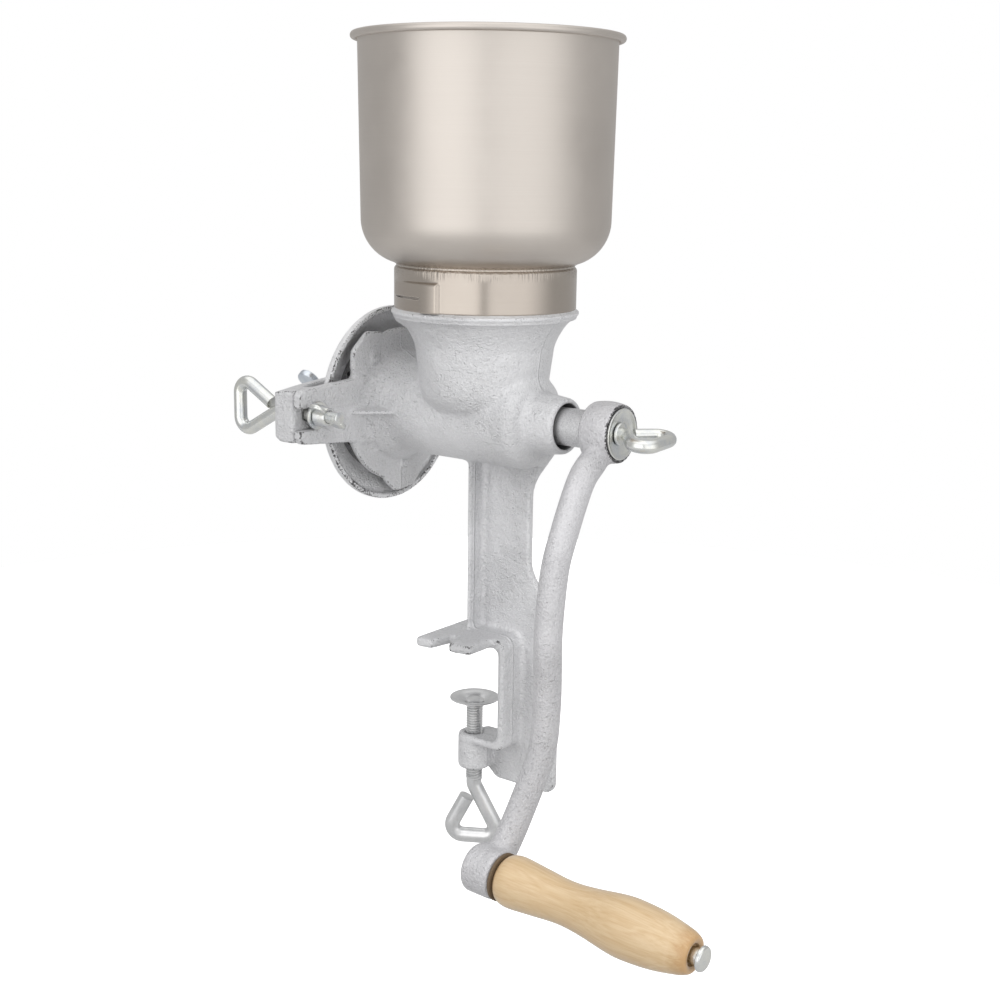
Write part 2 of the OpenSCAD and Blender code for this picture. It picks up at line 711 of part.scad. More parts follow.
// The shaft with the auger's flight: a seat for the disc, a core, a bearing and two flats
module auger_shaft() color(bare_iron) {
    flight_x = flange_back_x + coarse_travel + 2 * play;
    flight_len = core_end_x - play - flight_x;
    flight_angle = flight_t * auger_turns * 360 / flight_len;
    flight_r = bore_r - play;
    difference() {
        turned_on_shaft([
            [0, shaft_back_x],
            [shaft_seat_r - play, shaft_back_x],
            [shaft_seat_r, shaft_back_x + play],
            [shaft_seat_r, disc_front_x],
            [auger_core_r, disc_front_x],
            [auger_core_r, core_end_x],
            [shaft_r, core_end_x],
            [shaft_r, shaft_tip_x - play],
            [shaft_r - play, shaft_tip_x],
            [0, shaft_tip_x]]);
        for (s = [-1, 1]) translate([flats_x, s > 0 ? flats_w / 2 : -shaft_r - cut, shaft_h - shaft_r])
            cube([shaft_tip_x - flats_x + cut, shaft_r - flats_w / 2 + cut, 2 * shaft_r]);
        on_shaft(ball_x) sphere(r = ball_r + shaft_play);
        on_shaft(drive_pin_x) rotate([90, 0, 0])
            cylinder(r = drive_pin_r, h = 2 * disc_hub_r, center = true);
        on_shaft(shaft_tip_x - thumb_depth - play)
            cylinder(r = thumb_thread_r + thread_clear, h = thumb_depth + play + cut);
    }
    on_shaft(flight_x) linear_extrude(flight_len, twist = 360 * auger_turns, slices = 45, segments = 10)
        polygon([
            for (k = [-1 : 1]) at_angle(flight_r, flight_angle * k / 2),
            for (k = [1, -1]) at_angle(auger_core_r * 0.9, flight_angle * k / 2)]);
}

// The grooves of one plate: groups of parallel cuts that slant across its face
module grooves(face_x, side) {
    groove_w = groove_depth * sqrt(2);
    group_pitch = 0.24 * burr_eye_r;
    on_shaft(face_x) for (g = [0 : groove_groups - 1], k = [0 : 2])
        rotate(side * 360 * g / groove_groups)
            translate([burr_eye_r * (0.8 + 0.3 * k), side * group_pitch * k, 0]) rotate([45, 0, 0])
                translate([0, -groove_w / 2, -groove_w / 2]) cube([burr_r, groove_w, groove_w]);
}

// The ring of a grinding plate
module plate_ring(x, inner_r) {
    on_shaft(x) difference() {
        cylinder(r = burr_r, h = burr_t);
        translate([0, 0, -cut]) cylinder(r = inner_r, h = burr_t + 2 * cut);
    }
}

// The fixed plate, with its grooves towards the disc
module fixed_plate() color(bare_iron) difference() {
    plate_ring(fixed_face_x, burr_eye_r);
    grooves(fixed_face_x, 1);
    pegs(fixed_face_x + burr_t - peg_hold, peg_hold + cut, peg_r);
}

// The three pegs that hold the fixed plate; their ends show on the flange
module fixed_plate_pegs() color(cast_paint)
    pegs(fixed_face_x + burr_t - peg_hold, peg_hold + flange_t + flange_t / 4, peg_r);

// The rotating plate, with its grooves towards the fixed one
module rotating_plate() color(bare_iron) difference() {
    plate_ring(disc_front_x, auger_core_r + play);
    grooves(rotating_face_x, -1);
    pegs(disc_front_x - cut, peg_hold + cut, peg_r);
}

// The three pegs that hold the rotating plate on the disc
module rotating_plate_pegs() color(bare_iron)
    pegs(disc_back_x, disc_t + peg_hold, peg_r);

// The dished disc that carries the rotating plate on the shaft
drive_pin_x = disc_back_x;
module rotating_disc() color(cast_paint) {
    rim_front_x = flange_back_x - 4 * play;
    web_r = burr_r + 0.6 * disc_t;
    rim_t = 0.9 * disc_t;
    edge = rim_w / 4;
    difference() {
        turned_on_shaft(rounded([
            [0, disc_front_x, 0],
            [web_r, disc_front_x, 0],
            [disc_r - rim_w, rim_front_x - rim_w, 0],
            [disc_r - rim_w, rim_front_x, edge],
            [disc_r, rim_front_x, edge],
            [disc_r, rim_front_x - rim_w - edge, edge],
            [web_r + rim_t, disc_back_x, rim_t],
            [disc_hub_r, disc_back_x, 0],
            [disc_hub_r, disc_hub_x, edge],
            [0, disc_hub_x, 0]]));
        on_shaft(disc_hub_x - cut) cylinder(r = shaft_seat_r, h = disc_hub_h + disc_t + 2 * cut);
        on_shaft(drive_pin_x) rotate([90, 0, 0])
            cylinder(r = drive_pin_r, h = 3 * disc_hub_r, center = true);
        translate([disc_hub_x - cut, -disc_hub_r - cut, shaft_h - drive_pin_r])
            cube([disc_hub_h + cut, 2 * disc_hub_r + 2 * cut, 2 * drive_pin_r]);
        pegs(disc_back_x - cut, disc_t + 2 * cut, peg_r);
    }
}

// The cross pin that locks the disc to the shaft, in a slot in the disc's hub
module drive_pin() color(bare_iron) on_shaft(drive_pin_x) rotate([90, 0, 0])
    cylinder(r = drive_pin_r, h = 2 * disc_hub_r - 2 * play, center = true);

// The steel ball between the shaft and the adjusting screw
module thrust_ball() color(zinc) on_shaft(ball_x) sphere(r = ball_r);

// The bow shaped yoke behind the disc, with the boss of the adjusting screw
module yoke() color(cast_paint) {
    outer_y = bar_half;
    bow_x = bridge_x - yoke_t;
    leg_x = yoke_end_x - yoke_t / 3;
    near_h = bar_h / 2;
    far_h = yoke_h / 2;
    round_r = yoke_t / 2;
    difference() {
        intersection() {
            translate([0, 0, shaft_h - bar_h]) linear_extrude(2 * bar_h) polygon(rounded([
                [yoke_foot_x, block_y, round_r / 4],
                [leg_x, block_y, round_r * 2],
                [bridge_x, bolt_y / 2, round_r * 4],
                [bridge_x, -bolt_y / 2, round_r * 4],
                [leg_x, -block_y, round_r * 2],
                [yoke_foot_x, -block_y, round_r / 4],
                [yoke_foot_x, -outer_y, round_r / 2],
                [yoke_end_x, -outer_y, round_r],
                [yoke_end_x - yoke_t, -block_y, round_r * 3],
                [bow_x, -bolt_y / 3, round_r * 4],
                [bow_x, bolt_y / 3, round_r * 4],
                [yoke_end_x - yoke_t, block_y, round_r * 3],
                [yoke_end_x, outer_y, round_r],
                [yoke_foot_x, outer_y, round_r / 2]]));
            translate([0, 0, shaft_h + bar_rise])
                plate_along(-bar_half - cut, 2 * bar_half + 2 * cut) polygon([
                    [yoke_foot_x + cut, -near_h],
                    [yoke_end_x + yoke_end_t / 3, -near_h],
                    [yoke_end_x, -far_h],
                    [bow_x - cut, -far_h],
                    [bow_x - cut, far_h],
                    [yoke_end_x, far_h],
                    [yoke_foot_x + cut, near_h]]);
        }
        for (s = [-1, 1]) on_bolt(yoke_end_x - yoke_t - cut, s * bolt_y)
            cylinder(r = eye_rod_r + play, h = yoke_end_t + yoke_t + 2 * cut);
        on_shaft(bow_x - yoke_boss_len)
            cylinder(r = adjust_r + thread_clear, h = 2 * yoke_boss_len + yoke_t);
    }
    turned_on_shaft(rounded([
        [adjust_r + thread_clear, bridge_x - yoke_t / 2, 0],
        [yoke_boss_r, bridge_x - yoke_t / 2, 0],
        [yoke_boss_r, bridge_x - yoke_boss_len, round_r / 3],
        [adjust_r + thread_clear, bridge_x - yoke_boss_len, 0]]));
}

// A flat pair of wings on a screw's axis, as an outline of radius and height
module wing_pair(half, base, h, root_r, t) {
    lobe = min(0.4 * h, half / 4);
    side = [[root_r, base, 0], [half, base + h / 10, lobe], [half * 0.97, base + h, lobe],
            [half * 0.5, base + h, lobe / 2], [root_r * 0.8, base + h * 0.42, lobe / 2]];
    rotate([90, 0, 0]) translate([0, 0, -t / 2]) linear_extrude(t) polygon(rounded([
        for (q = side) q,
        for (k = [4 : -1 : 0]) [-side[k][0], side[k][1], side[k][2]]]));
}

// The adjusting screw with its two wings
module adjusting_screw() color(zinc)
    translate([ball_x, 0, shaft_h]) rotate([0, -90, 0]) rotate(-adjust_wing_turn) {
        root_r = 1.35 * adjust_r;
        tip = ball_r / 2;
        cup = ball_r + shaft_play;
        rotate_extrude() polygon([
            [0, cup],
            for (a = [75 : -15 : 30]) at_angle(cup, a),
            [adjust_r, tip],
            [adjust_r, adjust_len - nut_h / 3],
            [0, adjust_len - nut_h / 3]]);
        translate([0, 0, adjust_len - nut_h / 2]) cylinder(r1 = root_r, r2 = adjust_r, h = nut_h);
        wing_pair(adjust_wing_half, adjust_len - nut_h / 8, 1.8 * nut_h, adjust_r * 0.8, wing_t * 1.4);
    }

// The eye bolt of the yoke: an eye behind the yoke, a thread in front of the cross bar
eye_neck_x = yoke_end_x - 0.8 * eye_rod_r;
thread_start_x = flange_front_x;
washer_x = bar_front_x + play;
nut_x = washer_x + bolt_washer_t + play;
module eye_bolt(y) {
    translate([eye_neck_x, y, shaft_h + bolt_rise]) rotate([90, 0, 180])
        rod_eye(eye_rod_r, eye_len, eye_half, eye_corner_r, eye_neck_angle, thread_start_x - eye_neck_x);
    on_bolt(thread_start_x - cut, y)
        cylinder(r = bolt_thread_r, h = nut_x + nut_h + bolt_tail - thread_start_x + cut);
}

// The bolt at the front end of the cross bar
module front_eye_bolt() color(zinc) eye_bolt(-bolt_y);

// The bolt at the rear end of the cross bar
module rear_eye_bolt() color(zinc) eye_bolt(bolt_y);

// A washer on a yoke bolt
module bolt_washer(y) {
    on_bolt(washer_x, y) difference() {
        cylinder(r = bolt_washer_r, h = bolt_washer_t);
        translate([0, 0, -cut]) cylinder(r = bolt_thread_r + play, h = bolt_washer_t + 2 * cut);
    }
}

// The washer at the front end of the cross bar
module front_bolt_washer() color(zinc) bolt_washer(-bolt_y);

// The washer at the rear end of the cross bar
module rear_bolt_washer() color(zinc) bolt_washer(bolt_y);

// A wing nut on a yoke bolt, turned about it
module wing_nut(y, turn) {
    on_bolt(nut_x, y) rotate(turn) difference() {
        union() {
            cylinder(r1 = nut_r, r2 = 0.8 * nut_r, h = nut_h);
            wing_pair(wing_span_half, nut_h / 6, 1.2 * nut_h, 0.8 * nut_r, wing_t);
        }
        translate([0, 0, -cut]) cylinder(r = bolt_thread_r + thread_clear, h = 2 * nut_h + cut);
    }
}

// The wing nut at the front end of the cross bar
module front_wing_nut() color(zinc) wing_nut(-bolt_y, front_nut_turn);

// The wing nut at the rear end of the cross bar
module rear_wing_nut() color(zinc) wing_nut(bolt_y, rear_nut_turn);

// Moves to the crank's frame: x runs along the arm, z along the shaft
module in_crank(x) {
    on_shaft(x) rotate(-crank_angle) children();
}

// The arm's middle line, as shares of its length and of its bow
arm_line_shares = [[0, 0], [0.067, 0.29], [0.116, 0.66], [0.174, 0.79], [0.256, 0.84],
                   [0.339, 0.8], [0.467, 0.26], [0.543, -0.23], [0.619, -0.72], [0.719, -1.16],
                   [0.806, -1.02], [0.944, -0.55], [1, 0]];
arm_points = [for (q = arm_line_shares) [q[0] * crank_len, -q[1] * arm_bow]];

// A smooth curve through points
function spline_at(a, b, c, d, t) =
    (2 * b + (c - a) * t + (2 * a - 5 * b + 4 * c - d) * t * t
     + (3 * b - a - 3 * c + d) * t * t * t) / 2;
function spline(pts, steps) = let (n = len(pts)) [
    for (k = [0 : n - 2], j = [0 : steps - 1])
        spline_at(pts[max(k - 1, 0)], pts[k], pts[k + 1], pts[min(k + 2, n - 1)], j / steps),
    pts[n - 1]];

// The crank: a hub with two flats in its bore, an S shaped arm and a boss for the grip pin
crank_mid_x = hub_x + hub_len / 2;
module crank() color(cast_paint) {
    edge = grip_boss_r / 8;
    difference() {
        union() {
            turned_on_shaft([
                for (k = [0 : 8]) let (f = k / 8)
                    [hub_face_r + (hub_r - hub_face_r) * sin(180 * f), hub_x + hub_len * f],
                [0, hub_face_x], [0, hub_x]]);
            in_crank(crank_mid_x) oval_sweep(spline(arm_points, 3), arm_w, arm_t, 16);
            in_grip(0) rotate_extrude() polygon([
                [0, -grip_boss_len / 2], [grip_boss_r - edge, -grip_boss_len / 2],
                [grip_boss_r, edge - grip_boss_len / 2], [grip_boss_r, grip_boss_len / 2 - edge],
                [grip_boss_r - edge, grip_boss_len / 2], [0, grip_boss_len / 2]]);
        }
        on_shaft(cup_floor_x) cylinder(r = cup_r + play, h = hub_len);
        intersection() {
            on_shaft(hub_x - cut) cylinder(r = shaft_r + shaft_play, h = hub_len + 2 * cut);
            translate([hub_x - 2 * cut, -flats_w / 2 - shaft_play, shaft_h - hub_r])
                cube([hub_len + 4 * cut, flats_w + 2 * shaft_play, 2 * hub_r]);
        }
        in_grip(-grip_boss_len) cylinder(r = grip_pin_r, h = 2 * grip_boss_len);
    }
}

// The cup shaped washer in the face of the crank's hub
module cup_washer() color(zinc) {
    t = 0.1 * cup_r;
    x = cup_floor_x + play;
    turned_on_shaft([
        [thumb_thread_r + play, x],
        [0.72 * cup_r, x],
        [cup_r, x + 1.6 * t],
        [cup_r, x + 2.6 * t],
        [cup_r - t, x + 2.6 * t],
        [0.65 * cup_r, x + t],
        [thumb_thread_r + play, x + t]]);
}

// The thumb screw that holds the crank on the shaft; its head is a bent rod eye
thumb_neck_x = hub_face_x;
module crank_thumb_screw() color(zinc) {
    thread_x = shaft_tip_x - thumb_depth;
    collar_x = cup_floor_x + 2 * play + 0.1 * cup_r;
    translate([thumb_neck_x, 0, shaft_h]) rotate([-thumb_tilt, 0, 0])
        rod_eye(thumb_thread_r, thumb_eye_len, eye_half, eye_corner_r, thumb_neck_angle,
                thumb_neck_x - thread_x);
    on_shaft(collar_x) cylinder(r = 1.7 * thumb_thread_r, h = thumb_neck_x - collar_x);
}

// Moves to the grip's own frame at the middle of its boss, with z along the pin
module in_grip(s) {
    in_crank(crank_mid_x) translate([crank_len, 0, 0]) rotate([0, grip_lean, 0])
        translate([0, 0, s]) children();
}
grip_washer_s = grip_boss_len / 2 + play;
grip_s = grip_washer_s + grip_washer_t + play;
grip_head_s = grip_s + grip_len + grip_end_play;

// The washer between the crank and the grip
module grip_washer() color(fibre) in_grip(grip_washer_s) difference() {
    cylinder(r = 0.66 * grip_r, h = grip_washer_t);
    translate([0, 0, -cut]) cylinder(r = grip_pin_r + shaft_play, h = grip_washer_t + 2 * cut);
}

// The grip's outline, as shares of its length and of its largest radius
grip_shares = [[0, 0.68], [0.028, 0.86], [0.075, 0.9], [0.187, 0.829], [0.33, 0.743],
               [0.45, 0.8], [0.61, 0.979], [0.7, 1], [0.82, 0.929], [0.935, 0.757], [0.99, 0.62],
               [1, 0.57]];

// The turned wooden grip
module grip() color(birch) in_grip(grip_s) {
    $fn = 64;
    outline = spline([for (q = grip_shares) [q[1] * grip_r, q[0] * grip_len]], 3);
    hole_r = grip_pin_r + shaft_play;
    rotate_extrude() polygon([each outline, [hole_r, grip_len], [hole_r, 0]]);
}

// The pin that the grip turns on, with its rivet head
module grip_pin() color(zinc) in_grip(0) {
    head_h = 0.4 * grip_head_r;
    rotate_extrude() polygon([
        [0, -grip_boss_len / 2 - play],
        [grip_pin_r, -grip_boss_len / 2 - play],
        [grip_pin_r, grip_head_s],
        [grip_head_r, grip_head_s],
        [grip_head_r, grip_head_s + head_h / 2],
        [0.8 * grip_head_r, grip_head_s + head_h],
        [0, grip_head_s + head_h]]);
}

// The cone shaped pad that presses against the table's underside
pad_floor_z = -pad_drop - pad_h;
screw_neck_r = 0.65 * clamp_r;
module clamp_pad() color(zinc) {
    root_r = 1.4 * clamp_r;
    rotate_extrude() polygon([
        [screw_neck_r + shaft_play, pad_floor_z],
        [root_r, pad_floor_z],
        [root_r + pad_t, pad_floor_z + pad_h / 3],
        [pad_r * 0.8, -pad_drop - pad_h / 3],
        [pad_r, -pad_drop - pad_t / 2],
        [pad_r, -pad_drop],
        [pad_r - pad_t, -pad_drop],
        [pad_r * 0.66, -pad_drop - pad_h / 6],
        [root_r, pad_floor_z + pad_h / 3 + pad_t / 2],
        [root_r - pad_t, pad_floor_z + pad_t],
        [screw_neck_r + shaft_play, pad_floor_z + pad_t]]);
}

// The clamp screw: a peened end in the pad, a thread and a bent rod handle
module clamp_screw() color(zinc) {
    head_z = pad_floor_z + pad_t + play;
    shoulder_z = pad_floor_z - play;
    neck_z = boss_foot_z - clamp_tail;
    rod_r = 0.92 * clamp_r;
    rotate_extrude() polygon([
        [0, neck_z],
        [clamp_r, neck_z],
        [clamp_r, shoulder_z],
        [screw_neck_r, shoulder_z],
        [screw_neck_r, head_z],
        [1.1 * clamp_r, head_z],
        [1.1 * clamp_r, head_z + pad_t / 2],
        [screw_neck_r, head_z + pad_t],
        [0, head_z + pad_t]]);
    translate([0, 0, neck_z]) rotate([0, 90, handle_turn + 90])
        rod_eye(rod_r, handle_len, handle_half, eye_corner_r, handle_neck_angle, rod_r / 2);
}

body_casting();
hopper();
auger_shaft();
fixed_plate();
fixed_plate_pegs();
rotating_disc();
rotating_plate();
rotating_plate_pegs();
drive_pin();
thrust_ball();
yoke();
adjusting_screw();
front_eye_bolt();
rear_eye_bolt();
front_bolt_washer();
rear_bolt_washer();
front_wing_nut();
rear_wing_nut();
crank();
cup_washer();
crank_thumb_screw();
grip_washer();
grip();
grip_pin();
clamp_pad();
clamp_screw();
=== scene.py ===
import math
import bmesh
import bpy
from mathutils import Matrix, Vector


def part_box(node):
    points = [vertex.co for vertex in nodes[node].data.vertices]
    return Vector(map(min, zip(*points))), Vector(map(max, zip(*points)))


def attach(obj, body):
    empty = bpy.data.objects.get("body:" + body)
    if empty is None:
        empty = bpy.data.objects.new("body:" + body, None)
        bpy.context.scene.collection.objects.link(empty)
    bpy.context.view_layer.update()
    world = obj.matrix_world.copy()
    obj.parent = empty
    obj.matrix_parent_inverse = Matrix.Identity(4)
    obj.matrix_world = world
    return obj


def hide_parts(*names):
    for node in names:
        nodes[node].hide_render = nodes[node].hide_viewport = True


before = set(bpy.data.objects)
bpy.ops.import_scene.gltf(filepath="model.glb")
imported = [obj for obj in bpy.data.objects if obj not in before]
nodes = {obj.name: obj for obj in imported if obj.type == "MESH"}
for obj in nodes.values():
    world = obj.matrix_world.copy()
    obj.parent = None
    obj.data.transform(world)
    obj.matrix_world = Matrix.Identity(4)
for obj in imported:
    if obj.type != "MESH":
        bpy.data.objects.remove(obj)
scene = bpy.context.scene
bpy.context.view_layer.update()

# Body casting
# One grey iron casting: throat, barrel, grinding flange, column and clamp. It is sand cast in a
# mould parted along the shaft's upright plane, fettled, and sprayed with aluminium paint.
MM = 0.001
SHAFT_H = 124.0
CAST_VOXEL = 0.9
PAINT = (0.70, 0.70, 0.712, 1)
PAINT_SHADE = (0.62, 0.62, 0.632, 1)
CHIPPED_IRON = (0.075, 0.073, 0.075, 1)
# The bore's colour is bare iron darkened further as painted shade inside the bore.
BORE_IRON_AND_SHADE = (0.11, 0.108, 0.11, 1)
SHADED_BARE_BORE_R, SHADED_BARE_BORE_END_X = 12.2, 57.9


def put(tree, kind, label, **values):
    """One node of a material, with its plain settings and its unlinked inputs."""
    node = tree.nodes.new(kind)
    node.label = label
    for key, value in values.items():
        if hasattr(node, key):
            setattr(node, key, value)
        else:
            node.inputs[key.replace("_", " ")].default_value = value
    return node


def new_group(name, takes, gives):
    """An empty shader node group with named sockets."""
    group = bpy.data.node_groups.new(name, "ShaderNodeTree")
    for label, kind, value in takes:
        socket = group.interface.new_socket(name=label, in_out="INPUT", socket_type=kind)
        if value is not None:
            socket.default_value = value
    for label, kind in gives:
        group.interface.new_socket(name=label, in_out="OUTPUT", socket_type=kind)
    return group, group.nodes.new("NodeGroupInput"), group.nodes.new("NodeGroupOutput")


def new_material(name, **shader_values):
    """A material with one Principled shader; returns it, its tree, the shader and Object coordinates."""
    material = bpy.data.materials.new(name)
    material.use_nodes = True
    tree = material.node_tree
    shader = tree.nodes["Principled BSDF"]
    for key, value in shader_values.items():
        shader.inputs[key.replace("_", " ")].default_value = value
    place = tree.nodes.new("ShaderNodeTexCoord").outputs["Object"]
    return material, tree, shader, place


def use_group(tree, group, place, **values):
    node = tree.nodes.new("ShaderNodeGroup")
    node.node_tree = group
    if place is not None:
        tree.links.new(place, node.inputs["Place"])
    for key, value in values.items():
        node.inputs[key.replace("_", " ")].default_value = value
    return node


# Cast grain: the print of the moulding sand, from single grains up to slow lumps.
cast_grain, taken, given = new_group(
    "cast_grain",
    [("Place", "NodeSocketVector", None), ("Grain", "NodeSocketFloat", 900.0),
     ("Lump", "NodeSocketFloat", 160.0)],
    [("Height", "NodeSocketFloat"), ("Tone", "NodeSocketFloat")])
link = cast_grain.links.new
sand = put(cast_grain, "ShaderNodeTexNoise", "sand", Detail=4.0, Roughness=0.62)
link(taken.outputs["Place"], sand.inputs["Vector"])
link(taken.outputs["Grain"], sand.inputs["Scale"])
lumps = put(cast_grain, "ShaderNodeTexNoise", "lumps", Detail=2.0)
link(taken.outputs["Place"], lumps.inputs["Vector"])
link(taken.outputs["Lump"], lumps.inputs["Scale"])
pits = put(cast_grain, "ShaderNodeTexVoronoi", "pits", Scale=520.0)
link(taken.outputs["Place"], pits.inputs["Vector"])
pit_depth = put(cast_grain, "ShaderNodeMapRange", "pit depth", From_Min=0.0, From_Max=0.32,
                To_Min=-0.5, To_Max=0.0)
link(pits.outputs["Distance"], pit_depth.inputs["Value"])
sum_a = put(cast_grain, "ShaderNodeMath", "sand and lumps", operation="MULTIPLY_ADD")
link(lumps.outputs["Fac"], sum_a.inputs[0])
sum_a.inputs[1].default_value = 1.2
link(sand.outputs["Fac"], sum_a.inputs[2])
sum_b = put(cast_grain, "ShaderNodeMath", "with pits", operation="ADD")
link(sum_a.outputs[0], sum_b.inputs[0])
link(pit_depth.outputs["Result"], sum_b.inputs[1])
areas = put(cast_grain, "ShaderNodeTexNoise", "rough and smooth areas", Scale=26.0, Detail=1.0)
link(taken.outputs["Place"], areas.inputs["Vector"])
area_share = put(cast_grain, "ShaderNodeMapRange", "area share", From_Min=0.38, From_Max=0.62,
                 To_Min=0.65, To_Max=1.7)
link(areas.outputs["Fac"], area_share.inputs["Value"])
by_area = put(cast_grain, "ShaderNodeMath", "by area", operation="MULTIPLY")
link(sum_b.outputs[0], by_area.inputs[0])
link(area_share.outputs["Result"], by_area.inputs[1])
link(by_area.outputs[0], given.inputs["Height"])
tone = put(cast_grain, "ShaderNodeMapRange", "tone", From_Min=0.35, From_Max=0.68)
link(sand.outputs["Fac"], tone.inputs["Value"])
link(tone.outputs["Result"], given.inputs["Tone"])

# Chipped edges: paint lost in small flecks along edges, and a few pores elsewhere.
chipped_edges, taken, given = new_group(
    "chipped_edges",
    [("Place", "NodeSocketVector", None), ("Edge", "NodeSocketFloat", 0.5),
     ("Edge From", "NodeSocketFloat", 0.53), ("Edge To", "NodeSocketFloat", 0.60),
     ("Fleck", "NodeSocketFloat", 1100.0), ("Amount", "NodeSocketFloat", 0.5),
     ("Pores", "NodeSocketFloat", 0.0)],
    [("Chips", "NodeSocketFloat")])
link = chipped_edges.links.new
on_edge = put(chipped_edges, "ShaderNodeMapRange", "on an edge", interpolation_type="SMOOTHSTEP")
link(taken.outputs["Edge"], on_edge.inputs["Value"])
link(taken.outputs["Edge From"], on_edge.inputs["From Min"])
link(taken.outputs["Edge To"], on_edge.inputs["From Max"])
flecks = put(chipped_edges, "ShaderNodeTexNoise", "flecks", Detail=5.0, Roughness=0.7)
link(taken.outputs["Place"], flecks.inputs["Vector"])
link(taken.outputs["Fleck"], flecks.inputs["Scale"])
patches = put(chipped_edges, "ShaderNodeTexNoise", "patches", Scale=75.0, Detail=3.0)
link(taken.outputs["Place"], patches.inputs["Vector"])
reach = put(chipped_edges, "ShaderNodeMath", "reach", operation="MULTIPLY")
link(on_edge.outputs["Result"], reach.inputs[0])
link(patches.outputs["Fac"], reach.inputs[1])
reach_amount = put(chipped_edges, "ShaderNodeMath", "amount", operation="MULTIPLY")
link(reach.outputs[0], reach_amount.inputs[0])
link(taken.outputs["Amount"], reach_amount.inputs[1])
raised = put(chipped_edges, "ShaderNodeMath", "raised", operation="ADD")
link(flecks.outputs["Fac"], raised.inputs[0])
link(reach_amount.outputs[0], raised.inputs[1])
with_pores = put(chipped_edges, "ShaderNodeMath", "with pores", operation="ADD")
link(raised.outputs[0], with_pores.inputs[0])
link(taken.outputs["Pores"], with_pores.inputs[1])
chips = put(chipped_edges, "ShaderNodeMapRange", "chips", From_Min=0.735, From_Max=0.775)
link(with_pores.outputs[0], chips.inputs["Value"])
link(chips.outputs["Result"], given.inputs["Chips"])


# Reamed bore: the inside of the shaft's bearing, bare of paint up to its mouth; its colour is darker
# than bare iron, painted shade inside the bore.
bore_iron_and_shade, taken, given = new_group(
    "bore_iron_and_shade", [("Place", "NodeSocketVector", None)], [("Bare and shaded", "NodeSocketFloat")])
link = bore_iron_and_shade.links.new
flat = put(bore_iron_and_shade, "ShaderNodeMapping", "from the shaft's axis")
flat.inputs["Location"].default_value = (0, 0, -SHAFT_H * MM)
link(taken.outputs["Place"], flat.inputs["Vector"])
across = put(bore_iron_and_shade, "ShaderNodeVectorMath", "across the shaft", operation="MULTIPLY")
across.inputs[1].default_value = (0, 1, 1)
link(flat.outputs[0], across.inputs[0])
off_axis = put(bore_iron_and_shade, "ShaderNodeVectorMath", "off the axis", operation="LENGTH")
link(across.outputs[0], off_axis.inputs[0])
inside = put(bore_iron_and_shade, "ShaderNodeMapRange", "inside the bore", From_Min=SHADED_BARE_BORE_R * MM,
             From_Max=(SHADED_BARE_BORE_R - 0.5) * MM)
link(off_axis.outputs["Value"], inside.inputs["Value"])
along = bore_iron_and_shade.nodes.new("ShaderNodeSeparateXYZ")
link(taken.outputs["Place"], along.inputs[0])
behind = put(bore_iron_and_shade, "ShaderNodeMapRange", "behind the mouth", From_Min=SHADED_BARE_BORE_END_X * MM,
             From_Max=(SHADED_BARE_BORE_END_X - 0.6) * MM)
link(along.outputs["X"], behind.inputs["Value"])
bare = put(bore_iron_and_shade, "ShaderNodeMath", "bare", operation="MULTIPLY")
link(inside.outputs["Result"], bare.inputs[0])
link(behind.outputs["Result"], bare.inputs[1])
link(bare.outputs[0], given.inputs["Bare and shaded"])


